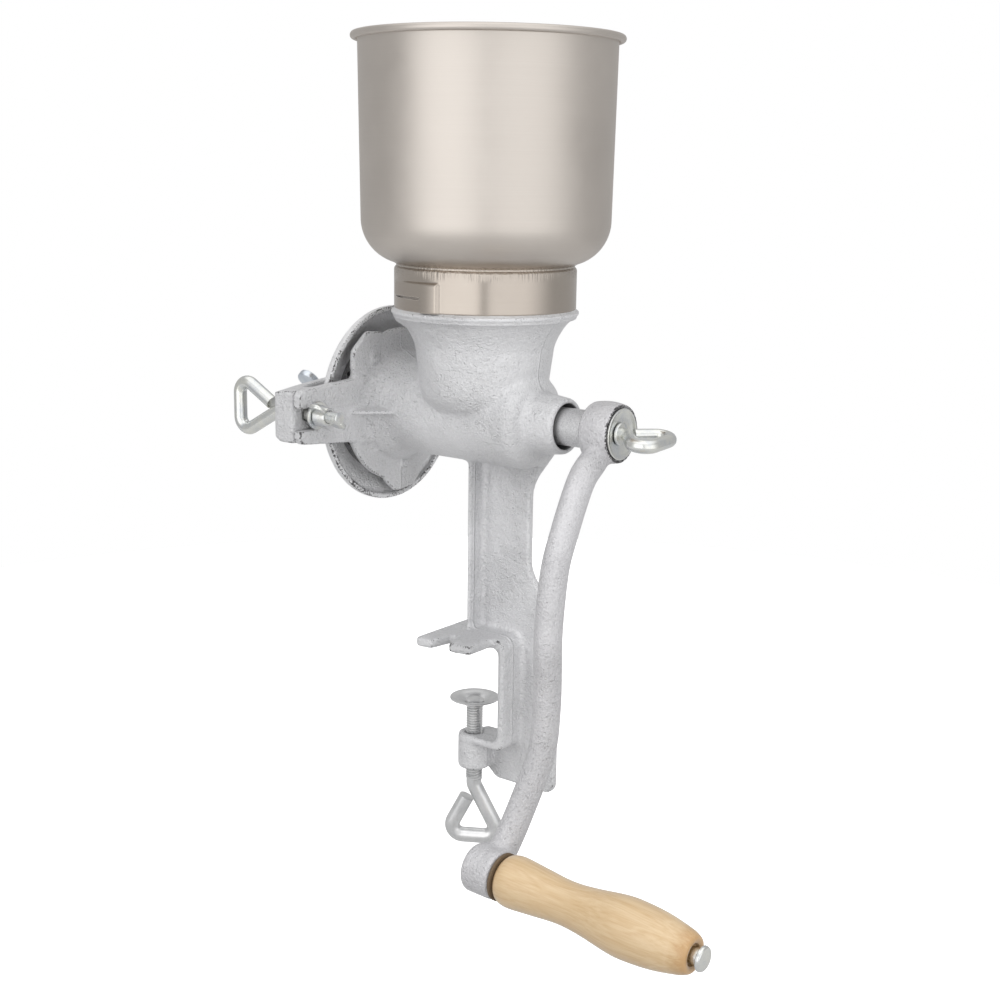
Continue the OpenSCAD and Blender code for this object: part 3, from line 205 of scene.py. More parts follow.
def paint_material(name, edge_from, edge_to, amount, seam, pores=0.02, light=PAINT, shade=PAINT_SHADE):
    """Aluminium paint over cast iron; the seam is the height of the parting line on the shaft's plane."""
    material, tree, shader, place = new_material(name, Metallic=0.4, Roughness=0.44)
    link = tree.links.new
    grain = use_group(tree, cast_grain, place)
    edge = use_group(tree, chipped_edges, place, Edge_From=edge_from, Edge_To=edge_to, Amount=amount,
                     Pores=pores)
    link(tree.nodes.new("ShaderNodeNewGeometry").outputs["Pointiness"], edge.inputs["Edge"])
    coat = put(tree, "ShaderNodeMix", "coat", data_type="RGBA")
    coat.inputs["A"].default_value = shade
    coat.inputs["B"].default_value = light
    link(grain.outputs["Tone"], coat.inputs["Factor"])
    worn = put(tree, "ShaderNodeMix", "worn", data_type="RGBA")
    worn.inputs["B"].default_value = CHIPPED_IRON
    link(edge.outputs["Chips"], worn.inputs["Factor"])
    link(coat.outputs["Result"], worn.inputs["A"])
    link(worn.outputs["Result"], shader.inputs["Base Color"])
    rough = put(tree, "ShaderNodeMapRange", "rough", To_Min=0.46, To_Max=0.32)
    link(grain.outputs["Tone"], rough.inputs["Value"])
    link(rough.outputs["Result"], shader.inputs["Roughness"])
    height = grain.outputs["Height"]
    if seam:
        split = tree.nodes.new("ShaderNodeSeparateXYZ")
        link(place, split.inputs[0])
        # Inside the bearing's bore the colour is bare iron darkened as painted shade.
        bore = use_group(tree, bore_iron_and_shade, place)
        bared = put(tree, "ShaderNodeMix", "bare bore", data_type="RGBA")
        bared.inputs["B"].default_value = BORE_IRON_AND_SHADE
        link(bore.outputs["Bare and shaded"], bared.inputs["Factor"])
        link(worn.outputs["Result"], bared.inputs["A"])
        link(bared.outputs["Result"], shader.inputs["Base Color"])
        off = put(tree, "ShaderNodeMath", "distance from the parting plane", operation="ABSOLUTE")
        link(split.outputs["Y"], off.inputs[0])
        ridge = put(tree, "ShaderNodeMapRange", "ridge", interpolation_type="SMOOTHSTEP",
                    From_Min=0.0, From_Max=1.1 * MM, To_Min=seam, To_Max=0.0)
        link(off.outputs[0], ridge.inputs["Value"])
        both = put(tree, "ShaderNodeMath", "grain and ridge", operation="ADD")
        link(height, both.inputs[0])
        link(ridge.outputs["Result"], both.inputs[1])
        height = both.outputs[0]
    bump = put(tree, "ShaderNodeBump", "bump", Strength=1.0, Distance=0.85 * MM)
    link(height, bump.inputs["Height"])
    link(bump.outputs["Normal"], shader.inputs["Normal"])
    return material


def merged_copy(node):
    """A CAD node's mesh with its loose triangles joined."""
    bm = bmesh.new()
    bm.from_mesh(nodes[node].data)
    bmesh.ops.remove_doubles(bm, verts=bm.verts, dist=1e-6)
    return bm


def join(bm, extra):
    """Adds a second form to the first."""
    mesh = bpy.data.meshes.new("joined")
    extra.to_mesh(mesh)
    extra.free()
    bm.from_mesh(mesh)


def soft_step(share):
    """A share held between 0 and 1, eased at both ends."""
    share = min(1, max(0, share))
    return share * share * (3 - 2 * share)


def finish_piece(name, bm, material, body, slot, *stands_for, sharp=35):
    """Makes the piece's object, lets it ride on its body and hides the CAD nodes it stands for."""
    mesh = bpy.data.meshes.new(name)
    bm.to_mesh(mesh)
    bm.free()
    mesh.shade_smooth()
    if sharp:
        mesh.set_sharp_from_angle(angle=math.radians(sharp))
    piece = bpy.data.objects.new(name, mesh)
    scene.collection.objects.link(piece)
    piece.data.materials.clear()
    piece.data.materials.append(material)
    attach(piece, body)
    if stands_for:
        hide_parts(*stands_for)
    return piece


def cast_skin(bm, voxel, rounding, fillet=0.0, keep=1.0):
    """A closed form as it comes from the sand: edges rounded, and inner corners filled by the fillet."""
    mesh = bpy.data.meshes.new("pattern")
    bm.to_mesh(mesh)
    bm.free()
    pattern = bpy.data.objects.new("pattern", mesh)
    scene.collection.objects.link(pattern)

    def skin():
        step = pattern.modifiers.new("skin", "REMESH")
        step.mode = "VOXEL"
        step.voxel_size = voxel * MM
        step.use_smooth_shade = True

    def grow(by):
        step = pattern.modifiers.new("grow", "DISPLACE")
        step.strength = by * MM
        step.mid_level = 0

    skin()
    if fillet:
        grow(fillet)
        skin()
        grow(-fillet)
        skin()
    ease = pattern.modifiers.new("ease", "SMOOTH")
    ease.factor = 0.5
    ease.iterations = rounding
    if keep < 1:
        pattern.modifiers.new("fewer faces", "DECIMATE").ratio = keep
    graph = bpy.context.evaluated_depsgraph_get()
    done = bpy.data.meshes.new_from_object(pattern.evaluated_get(graph), depsgraph=graph)
    bpy.data.objects.remove(pattern)
    bm = bmesh.new()
    bm.from_mesh(done)
    return bm


body_paint = paint_material("aluminium_paint_body", 0.51, 0.55, 0.45, 0.8)
plain_paint = paint_material("aluminium_paint", 0.51, 0.55, 0.45, 0)
whole_paint = paint_material("aluminium_paint_unworn", 0.7, 0.8, 0.0, 0, pores=0.0)

# The CAD's wedge fins are pinched out of sight under sharper ones, and the column's rib is thinned.
FIN_PINCH, FIN_HALF_T, FIN_ROOT_Y, FIN_TIP_Y, FIN_FRONT_X, FIN_SLOPE = 0.3, 1.6, 24.9, 42.5, -35.0, -10.3
RIB_INNER_X, RIB_FRONT_Y = -1.7, -3.6
RIB_Y, RIB_Z, RIB_BACK_X = (-2.6, 8.1), (5.2, 112.0), -4.1
NEAR = 0.05
pattern = merged_copy("body_casting")
for vert in pattern.verts:
    x, y, z = vert.co / MM
    across, level = abs(y), z - SHAFT_H
    on_fin = across > FIN_ROOT_Y and x < FIN_FRONT_X and abs(level) < FIN_HALF_T
    if on_fin and (abs(across + x - FIN_SLOPE) < 8 * NEAR or abs(across - FIN_TIP_Y) < 2 * NEAR):
        vert.co.z = (SHAFT_H + FIN_PINCH * level) * MM
    if RIB_Y[0] < y < RIB_Y[1] and RIB_Z[0] < z < RIB_Z[1] and x < NEAR:
        if abs(x) < NEAR:
            vert.co.x = RIB_INNER_X * MM
        if y < RIB_Y[0] + 4 * NEAR and x > RIB_BACK_X:
            vert.co.y = RIB_FRONT_Y * MM
pattern.from_mesh(nodes["fixed_plate_pegs"].data)
bmesh.ops.remove_doubles(pattern, verts=pattern.verts, dist=1e-6)
skin = cast_skin(pattern, CAST_VOXEL, 2, 0.9, keep=0.63)

# The bearing's bore widens at its mouth.
MOUTH_START_X, MOUTH_EASE, MOUTH_BORE, MOUTH_EDGE, MOUTH_R = 52.0, 3.0, 9.8, 13.2, 2.0
for vert in skin.verts:
    share = soft_step((vert.co.x / MM - MOUTH_START_X) / MOUTH_EASE)
    radius = math.hypot(vert.co.y, vert.co.z - SHAFT_H * MM) / MM
    if share and radius < MOUTH_EDGE:
        wider = radius + MOUTH_R * share * min(1, (MOUTH_EDGE - radius) / (MOUTH_EDGE - MOUTH_BORE))
        vert.co.y *= wider / radius
        vert.co.z = SHAFT_H * MM + (vert.co.z - SHAFT_H * MM) * wider / radius

# The lip is thinned from below and above, clear of the flange behind it.
LIP_AXIS_X, LIP_REACH, SPIGOT_R, FLARE_R, FLARE_EASE = 4.0, 49.5, 46.25, 36.5, 9.5
FLARE_FOOT_Z, LIP_FOOT_Z, LIP_MID_Z, LIP_TOP_Z = 158.0, 172.0, 178.5, 182.0
LIP_FOOT_RISE, LIP_TOP_DROP, FILLET_H = 3.6, 1.7, 5.0
FLANGE_X, FLANGE_Y = -32.0, 24.0
for vert in skin.verts:
    x, y, z = vert.co / MM
    radius = math.hypot(x - LIP_AXIS_X, y)
    if FLARE_R < radius < LIP_REACH and FLARE_FOOT_Z < z <= LIP_MID_Z:
        clear_of_flange = max(soft_step((x - FLANGE_X) / 6), soft_step((abs(y) - FLANGE_Y) / 5))
        rise = LIP_FOOT_RISE * min(1, (LIP_MID_Z - z) / (LIP_MID_Z - LIP_FOOT_Z))
        vert.co.z += rise * soft_step((radius - FLARE_R) / FLARE_EASE) * clear_of_flange * MM
    elif SPIGOT_R < radius < LIP_REACH and LIP_MID_Z < z < LIP_TOP_Z + FILLET_H:
        vert.co.z -= LIP_TOP_DROP * min(1, (z - LIP_MID_Z) / (LIP_TOP_Z - LIP_MID_Z)) * MM

# The sharp wedge fins at the cross bar's roots.
FIN_OUTLINE = ((-53.6, 23.5, 3.4), (-53.6, 43.3, 0.75), (-33.8, 23.5, 0.75))
for side in (-1, 1):
    fin = bmesh.new()
    top = [fin.verts.new((x * MM, side * y * MM, (SHAFT_H + z) * MM)) for x, y, z in FIN_OUTLINE]
    out = bmesh.ops.extrude_face_region(fin, geom=[fin.faces.new(top)])
    for vert in out["geom"]:
        if isinstance(vert, bmesh.types.BMVert):
            vert.co.z = 2 * SHAFT_H * MM - vert.co.z
    bmesh.ops.recalc_face_normals(fin, faces=fin.faces)
    bmesh.ops.bevel(fin, geom=fin.edges, offset=0.25 * MM, segments=2, profile=0.5, affect="EDGES",
                    material=-1)
    for length in (8, 4, 2, 1):
        long_edges = [e for e in fin.edges if e.calc_length() > length * MM]
        bmesh.ops.subdivide_edges(fin, edges=long_edges, cuts=1, use_grid_fill=True)
    join(skin, fin)
finish_piece("body_casting_skin", skin, body_paint, "body", "casting", "body_casting", sharp=50)

# Hopper
# Stainless sheet, deep drawn and spun: a bowl with its edge rolled over a wire, and a collar that is
# pressed into two bayonet channels. The bowl is left satin from the brush, the collar is brighter.
HOPPER_X = 4.0
SHEET = 0.9
COLLAR_R, COLLAR_Z, BOWL_Z, RIM_Z = 47.4, 180.8, 203.3, 317.8
BOWL_R, BOWL_CORNER, ROLL_R = 64.5, 23.0, 1.9
STEEL = (0.63, 0.585, 0.54, 1)
STEEL_SHADE = (0.54, 0.493, 0.45, 1)


def arc(cx, cz, r, start, end, steps):
    """Points of an arc as radius and height; angles in degrees from the radius."""
    return [(cx + r * math.cos(math.radians(start + (end - start) * k / steps)),
             cz + r * math.sin(math.radians(start + (end - start) * k / steps))) for k in range(steps + 1)]


def turned(points, steps=96, closed=True, place=Matrix.Identity(4)):
    """A turned form: points of radius and height in mm, spun about Z, then placed."""
    bm = bmesh.new()
    line = [bm.verts.new((r * MM, 0, z * MM)) for r, z in points]
    edges = [bm.edges.new(pair) for pair in zip(line, line[1:])]
    if closed:
        edges.append(bm.edges.new((line[-1], line[0])))
    bmesh.ops.spin(bm, geom=line + edges, cent=(0, 0, 0), axis=(0, 0, 1), angle=2 * math.pi,
                   steps=steps, use_merge=True, use_duplicate=False)
    bmesh.ops.remove_doubles(bm, verts=bm.verts, dist=1e-7)
    bmesh.ops.recalc_face_normals(bm, faces=bm.faces)
    bmesh.ops.transform(bm, matrix=place, verts=bm.verts)
    return bm


def steps_between(low, high, pitch):
    count = max(1, round((high - low) / pitch))
    return [low + (high - low) * k / count for k in range(1, count)]


top_r = BOWL_R + 1.3
bead = (top_r + 0.9 * ROLL_R, RIM_Z - ROLL_R)
corner = (BOWL_R - BOWL_CORNER, BOWL_Z + BOWL_CORNER)
outer = [(COLLAR_R - 0.25, COLLAR_Z), (COLLAR_R, COLLAR_Z + 0.5)]
outer += [(COLLAR_R, z) for z in steps_between(COLLAR_Z + 0.5, BOWL_Z - 2.8, 0.5)]
outer += arc(COLLAR_R - 2.2, BOWL_Z - 2.8, 2.2, 0, 62, 5)
outer += [(COLLAR_R - 1.5, BOWL_Z - 0.35)]
outer += arc(corner[0], corner[1], BOWL_CORNER, -77, 0, 22)[1:]
outer += [(BOWL_R + (top_r - BOWL_R) * k / 6,
           corner[1] + (bead[1] - ROLL_R - corner[1]) * k / 6) for k in range(1, 7)]
outer += arc(bead[0], bead[1], ROLL_R, -140, 95, 18)
inner = [(top_r - SHEET * 0.55, RIM_Z - 0.25), (top_r - SHEET, RIM_Z - 1.4)]
inner += [(BOWL_R - SHEET + (top_r - BOWL_R) * k / 6,
           corner[1] + (RIM_Z - 1.4 - corner[1]) * k / 6) for k in range(5, 0, -1)]
inner += arc(corner[0], corner[1], BOWL_CORNER - SHEET, 0, -76, 22)
inner += [(COLLAR_R - SHEET - 0.4, BOWL_Z - 1.4)]
inner += [(COLLAR_R - SHEET, z) for z in reversed(steps_between(COLLAR_Z, BOWL_Z - 1.4, 0.6))]
inner += [(COLLAR_R - SHEET, COLLAR_Z)]
bowl = turned(outer + inner, steps=480)


def box_gap(y, z, y0, y1, z0, z1):
    """How far a point lies outside a box; less than zero inside it."""
    dy, dz = abs(y - (y0 + y1) / 2) - (y1 - y0) / 2, abs(z - (z0 + z1) / 2) - (z1 - z0) / 2
    return math.hypot(max(dy, 0), max(dz, 0)) + min(max(dy, dz), 0)


CHANNEL_DEPTH, CHANNEL_W, BAYONET_TURN = 1.6, 8.6, 28.0
LEVEL_Z, LEG_WIDER, SLOPE_OUT, SLOPE_W = 187.4, 3.0, 0.7, 2.2
leg_y = COLLAR_R * math.sin(math.radians(BAYONET_TURN / 2)) + CHANNEL_W / 2
leg_end = leg_y + LEG_WIDER
for vert in bowl.verts:
    radius = math.hypot(vert.co.x, vert.co.y) / MM
    height = vert.co.z / MM
    if height < BOWL_Z - 3 and radius < COLLAR_R + 0.1:
        for middle in (-90 - BAYONET_TURN / 2, 90 - BAYONET_TURN / 2):
            turn = math.atan2(vert.co.y, vert.co.x) - math.radians(middle)
            if math.cos(turn) > 0.8:
                y = COLLAR_R * math.sin(turn)
                level = box_gap(y, height, -leg_y, leg_end, LEVEL_Z, LEVEL_Z + CHANNEL_W)
                leg = box_gap(y, height, leg_y - CHANNEL_W, leg_end, COLLAR_Z - 3, LEVEL_Z + CHANNEL_W)
                gap = min(level, leg)
                push = CHANNEL_DEPTH * soft_step((SLOPE_OUT - gap) / SLOPE_W)
                vert.co.x *= (radius + push) / radius
                vert.co.y *= (radius + push) / radius
bmesh.ops.translate(bowl, verts=bowl.verts, vec=(HOPPER_X * MM, 0, 0))

satin_steel, tree, shader, place = new_material("satin_steel", Metallic=1.0)
link = tree.links.new
centred = put(tree, "ShaderNodeMapping", "from the hopper's axis")
centred.inputs["Location"].default_value = (-HOPPER_X * MM, 0, 0)
link(place, centred.inputs["Vector"])
brushed, taken, given = new_group(
    "brush_marks",
    [("Place", "NodeSocketVector", None), ("Along", "NodeSocketFloat", 14.0),
     ("Across", "NodeSocketFloat", 3600.0)],
    [("Marks", "NodeSocketFloat"), ("Cloud", "NodeSocketFloat")])
spread = put(brushed, "ShaderNodeCombineXYZ", "spread")
for socket, source in (("X", "Along"), ("Y", "Along"), ("Z", "Across")):
    brushed.links.new(taken.outputs[source], spread.inputs[socket])
drawn = put(brushed, "ShaderNodeVectorMath", "drawn out", operation="MULTIPLY")
brushed.links.new(taken.outputs["Place"], drawn.inputs[0])
brushed.links.new(spread.outputs[0], drawn.inputs[1])
marks = put(brushed, "ShaderNodeTexNoise", "marks", Scale=1.0, Detail=3.0, Roughness=0.6)
brushed.links.new(drawn.outputs[0], marks.inputs["Vector"])
brushed.links.new(marks.outputs["Fac"], given.inputs["Marks"])
cloud = put(brushed, "ShaderNodeTexNoise", "cloud", Scale=28.0, Detail=4.0, Roughness=0.6)
brushed.links.new(taken.outputs["Place"], cloud.inputs["Vector"])
brushed.links.new(cloud.outputs["Fac"], given.inputs["Cloud"])
brush = use_group(tree, brushed, centred.outputs[0])
split = tree.nodes.new("ShaderNodeSeparateXYZ")
link(centred.outputs[0], split.inputs[0])
on_bowl = put(tree, "ShaderNodeMapRange", "on the bowl", interpolation_type="SMOOTHSTEP",
              From_Min=(BOWL_Z - 1) * MM, From_Max=(BOWL_Z + 5) * MM)
link(split.outputs["Z"], on_bowl.inputs["Value"])
sheen = put(tree, "ShaderNodeMapRange", "satin", From_Min=0.3, From_Max=0.7, To_Min=0.36, To_Max=0.46)
link(brush.outputs["Cloud"], sheen.inputs["Value"])
rough = put(tree, "ShaderNodeMix", "collar is brighter", data_type="FLOAT")
rough.inputs["A"].default_value = 0.22
link(on_bowl.outputs["Result"], rough.inputs["Factor"])
link(sheen.outputs["Result"], rough.inputs["B"])
link(rough.outputs["Result"], shader.inputs["Roughness"])
stain = put(tree, "ShaderNodeMix", "steel", data_type="RGBA")
stain.inputs["A"].default_value = STEEL_SHADE
stain.inputs["B"].default_value = STEEL
mixed = put(tree, "ShaderNodeMath", "marks and cloud", operation="MULTIPLY_ADD")
link(brush.outputs["Marks"], mixed.inputs[0])
mixed.inputs[1].default_value = 0.45
link(brush.outputs["Cloud"], mixed.inputs[2])
link(mixed.outputs[0], stain.inputs["Factor"])
# The collar's colour is darker than the bowl's.
collar_darker = put(tree, "ShaderNodeMix", "collar darker", data_type="RGBA", blend_type="MULTIPLY")
off_bowl = put(tree, "ShaderNodeMath", "off the bowl", operation="SUBTRACT")
off_bowl.inputs[0].default_value = 1.0
link(on_bowl.outputs["Result"], off_bowl.inputs[1])
link(off_bowl.outputs[0], collar_darker.inputs["Factor"])
link(stain.outputs["Result"], collar_darker.inputs["A"])
collar_darker.inputs["B"].default_value = (0.80, 0.775, 0.745, 1)
link(collar_darker.outputs["Result"], shader.inputs["Base Color"])
crimped = put(tree, "ShaderNodeVectorMath", "fine pleats", operation="MULTIPLY")
link(centred.outputs[0], crimped.inputs[0])
crimped.inputs[1].default_value = (900, 900, 40)
pleats = put(tree, "ShaderNodeTexNoise", "pleats", Scale=1.0, Detail=2.0)
link(crimped.outputs[0], pleats.inputs["Vector"])
low = put(tree, "ShaderNodeMapRange", "above the collar's middle", From_Min=(BOWL_Z - 6.5) * MM,
          From_Max=(BOWL_Z - 3) * MM)
high = put(tree, "ShaderNodeMapRange", "under the bowl", From_Min=(BOWL_Z + 0.5) * MM,
           From_Max=(BOWL_Z - 0.5) * MM)
link(split.outputs["Z"], low.inputs["Value"])
link(split.outputs["Z"], high.inputs["Value"])
pleat_band = put(tree, "ShaderNodeMath", "pleated band", operation="MULTIPLY")
link(low.outputs["Result"], pleat_band.inputs[0])
link(high.outputs["Result"], pleat_band.inputs[1])
pleated = put(tree, "ShaderNodeMath", "pleats in the band", operation="MULTIPLY")
link(pleats.outputs["Fac"], pleated.inputs[0])
link(pleat_band.outputs[0], pleated.inputs[1])
relief = put(tree, "ShaderNodeMath", "relief", operation="MULTIPLY_ADD")
link(pleated.outputs[0], relief.inputs[0])
relief.inputs[1].default_value = 60.0
link(brush.outputs["Marks"], relief.inputs[2])
bump = put(tree, "ShaderNodeBump", "bump", Strength=0.35, Distance=0.03 * MM)
link(relief.outputs[0], bump.inputs["Height"])
link(bump.outputs["Normal"], shader.inputs["Normal"])
finish_piece("hopper_sheet", bowl, satin_steel, "hopper", "hopper_steel", "hopper", sharp=50)

# Shaft, auger and grinding plates
# A cast iron shaft with the auger's flight, turned where it runs in the bearing, and two hard iron
# plates with slanted grooves. They are bare and dull, with the drive pin through shaft and disc.
BARE_IRON = (0.36, 0.36, 0.37, 1)
BARE_IRON_DARK = (0.17, 0.165, 0.165, 1)


def iron_material(name, light, dark, roughness, grain_scale):
    material, tree, shader, place = new_material(name, Metallic=0.8, Roughness=roughness)
    link = tree.links.new
    grain = use_group(tree, cast_grain, place, Grain=grain_scale)
    colour = put(tree, "ShaderNodeMix", "iron", data_type="RGBA")
    colour.inputs["A"].default_value = dark
    colour.inputs["B"].default_value = light
    link(grain.outputs["Tone"], colour.inputs["Factor"])
    link(colour.outputs["Result"], shader.inputs["Base Color"])
    rough = put(tree, "ShaderNodeMapRange", "rough", To_Min=roughness + 0.12, To_Max=roughness - 0.08)
    link(grain.outputs["Tone"], rough.inputs["Value"])
    link(rough.outputs["Result"], shader.inputs["Roughness"])
    bump = put(tree, "ShaderNodeBump", "bump", Strength=0.4, Distance=0.1 * MM)
    link(grain.outputs["Height"], bump.inputs["Height"])
    link(bump.outputs["Normal"], shader.inputs["Normal"])
    return material


def on_shaft(x, y=0.0):
    """Local z along the shaft, local x down, local y across."""
    return Matrix(((0, 0, 1, x * MM), (0, 1, 0, y * MM), (-1, 0, 0, SHAFT_H * MM), (0, 0, 0, 1)))


shaft_iron = iron_material("shaft_iron", (0.74, 0.74, 0.75, 1), (0.50, 0.50, 0.51, 1), 0.42, 1300.0)
plate_iron = iron_material("plate_iron", BARE_IRON, BARE_IRON_DARK, 0.5, 1100.0)
PEG_R, PEG_CIRCLE_R = 3.0, 33.8
PEG_ANGLES = (22.6, 130.4, 274.8)
pegs = bmesh.new()
low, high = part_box("fixed_plate_pegs")
start, end = low[0] / MM, high[0] / MM
peg_line = [(0, start), (PEG_R, start), (PEG_R, end), (2.6, end + 0.5), (2.1, end + 0.2),
            (1.6, end + 0.75), (0, end + 0.9)]
for angle in map(math.radians, PEG_ANGLES):
    out = Matrix.Translation((-PEG_CIRCLE_R * MM * math.sin(angle),
                              PEG_CIRCLE_R * MM * math.cos(angle), 0))
    peg = turned(peg_line, steps=32, closed=False, place=on_shaft(0) @ out)
    join(pegs, peg)
finish_piece("fixed_plate_pegs_peened", pegs, whole_paint, "body", "casting", "fixed_plate_pegs",
             sharp=40)
for name in ("auger_shaft", "drive_pin"):
    nodes[name].data.materials.clear()
    nodes[name].data.materials.append(shaft_iron)
for name in ("fixed_plate", "rotating_plate", "rotating_plate_pegs"):
    nodes[name].data.materials.clear()
    nodes[name].data.materials.append(plate_iron)
ball_steel, tree, shader, place = new_material("ball_steel", Metallic=1.0, Roughness=0.08)
shine = put(tree, "ShaderNodeTexNoise", "handling marks", Scale=700.0, Detail=3.0)
tree.links.new(place, shine.inputs["Vector"])
marked = put(tree, "ShaderNodeMapRange", "marked", To_Min=0.05, To_Max=0.14)
tree.links.new(shine.outputs["Fac"], marked.inputs["Value"])
tree.links.new(marked.outputs["Result"], shader.inputs["Roughness"])
tone = put(tree, "ShaderNodeMix", "steel", data_type="RGBA")
tone.inputs["A"].default_value = (0.62, 0.62, 0.63, 1)
tone.inputs["B"].default_value = (0.72, 0.72, 0.73, 1)
tree.links.new(shine.outputs["Fac"], tone.inputs["Factor"])
tree.links.new(tone.outputs["Result"], shader.inputs["Base Color"])
nodes["thrust_ball"].data.materials.clear()
nodes["thrust_ball"].data.materials.append(ball_steel)

# Rotating disc and yoke
# The dished disc carries the rotating plate, and the bow shaped yoke behind it takes the thrust.
# Both are iron castings in the same paint, the disc's a lighter copy as painted light in its shaded
# dish; the disc's rim is ground and has lost most of it.
DISC_VOXEL = 0.8
# The disc's paint is lighter than the body's: painted light, to brighten its dish, which lies in shade.
disc_paint_lightened = paint_material("aluminium_paint_disc_lightened", 0.51, 0.55, 0.52, 0, light=(0.80, 0.80, 0.81, 1),
                           shade=(0.72, 0.72, 0.73, 1))
finish_piece("rotating_disc_skin", cast_skin(merged_copy("rotating_disc"), DISC_VOXEL, 2),
             disc_paint_lightened, "shaft", "casting", "rotating_disc", sharp=0)
finish_piece("yoke_skin", cast_skin(merged_copy("yoke"), DISC_VOXEL, 3, 1.0),
             plain_paint, "body", "casting", "yoke", sharp=0)

# Yoke bolts, washers and wing nuts
# Two eye bolts of bent rod with rolled threads pull the yoke to the cross bar; each has a stamped
# washer and a cast wing nut. All are zinc plated, pale with a faint yellow and blue bloom.
EYE_ROD_R, EYE_LEN, EYE_HALF, EYE_CORNER = 3.5, 34.0, 12.4, 6.0
BOLT_Y, BOLT_RISE = 68.0, 1.8
EYE_NECK_X, THREAD_START_X, WASHER_X, BOLT_END_X = -75.3, -54.4, -52.5, -36.2
BOLT_THREAD_R, BOLT_PITCH = 3.1, 1.0
ZINC = (0.80, 0.80, 0.755, 1)
ZINC_BLOOM = (0.66, 0.68, 0.70, 1)


def zinc_material(name, light, bloom, roughness):
    material, tree, shader, place = new_material(name, Metallic=1.0, Roughness=roughness)
    link = tree.links.new
    bloom_noise = put(tree, "ShaderNodeTexNoise", "bloom", Scale=120.0, Detail=5.0, Roughness=0.65)
    link(place, bloom_noise.inputs["Vector"])
    colour = put(tree, "ShaderNodeMix", "zinc", data_type="RGBA")
    colour.inputs["A"].default_value = bloom
    colour.inputs["B"].default_value = light
    share = put(tree, "ShaderNodeMapRange", "share", From_Min=0.35, From_Max=0.6)
    link(bloom_noise.outputs["Fac"], share.inputs["Value"])
    link(share.outputs["Result"], colour.inputs["Factor"])
    link(colour.outputs["Result"], shader.inputs["Base Color"])
    rough = put(tree, "ShaderNodeMapRange", "rough", To_Min=roughness + 0.1, To_Max=roughness - 0.05)
    link(bloom_noise.outputs["Fac"], rough.inputs["Value"])
    link(rough.outputs["Result"], shader.inputs["Roughness"])
    fine = put(tree, "ShaderNodeTexNoise", "plating", Scale=1800.0, Detail=2.0)
    link(place, fine.inputs["Vector"])
    bump = put(tree, "ShaderNodeBump", "bump", Strength=0.2, Distance=0.03 * MM)
    link(fine.outputs["Fac"], bump.inputs["Height"])
    link(bump.outputs["Normal"], shader.inputs["Normal"])
    return material


zinc = zinc_material("zinc_plate", ZINC, ZINC_BLOOM, 0.22)


def bent_line(points):
    """The middle line of a bent rod in its own plane, from points of x, y and bend radius in mm."""
    line = [Vector((points[0][0], points[0][1], 0))]
    for before, here, after in zip(points, points[1:], points[2:]):
        a, b, c = (Vector((q[0], q[1], 0)) for q in (before, here, after))
        u, v = (a - b).normalized(), (c - b).normalized()
        half = u.angle(v) / 2
        back = here[2] / math.tan(half)
        middle = b + (u + v).normalized() * here[2] / math.sin(half)
        start, end = b + u * back - middle, b + v * back - middle
        sweep = start.angle(end)
        turn = 1 if start.cross(end).z > 0 else -1
        for k in range(13):
            line.append(middle + Matrix.Rotation(turn * sweep * k / 12, 3, "Z") @ start)
    line.append(Vector((points[-1][0], points[-1][1], 0)))
    return line


def eye_path(r, length, half, corner, neck_angle, tail):
    """The points of a triangular rod eye: its neck at the origin, the eye along x."""
    neck = math.radians(neck_angle)
    side = (corner + (half - corner) * math.cos(neck)) / math.sin(neck)
    apex = length - corner - side
    spread = (length - apex) * math.tan(neck)
    run = (r + 0.3 + r * math.cos(2 * neck)) / math.sin(2 * neck)
    return bent_line([(-tail, 0, 0), (apex, 0, 1.5 * r), (length, -spread, corner),
                      (length, spread, corner), (apex + run * math.cos(neck), run * math.sin(neck), 0)])


def add_rod(bm, line, radius, place):
    """Adds a round rod along a line, in mm before it is placed."""
    curve = bpy.data.curves.new("rod", "CURVE")
    curve.dimensions = "3D"
    spline = curve.splines.new("POLY")
    spline.points.add(len(line) - 1)
    for point, at in zip(spline.points, line):
        point.co = (*(place @ (at * MM)), 1)
    curve.bevel_depth = radius * MM
    curve.bevel_resolution = 10
    curve.use_fill_caps = True
    holder = bpy.data.objects.new("rod", curve)
    scene.collection.objects.link(holder)
    graph = bpy.context.evaluated_depsgraph_get()
    mesh = bpy.data.meshes.new_from_object(holder.evaluated_get(graph), depsgraph=graph)
    bpy.data.objects.remove(holder)
    fresh = bmesh.new()
    fresh.from_mesh(mesh)
    bmesh.ops.remove_doubles(fresh, verts=fresh.verts, dist=1e-7)
    bmesh.ops.recalc_face_normals(fresh, faces=fresh.faces)
    join(bm, fresh)


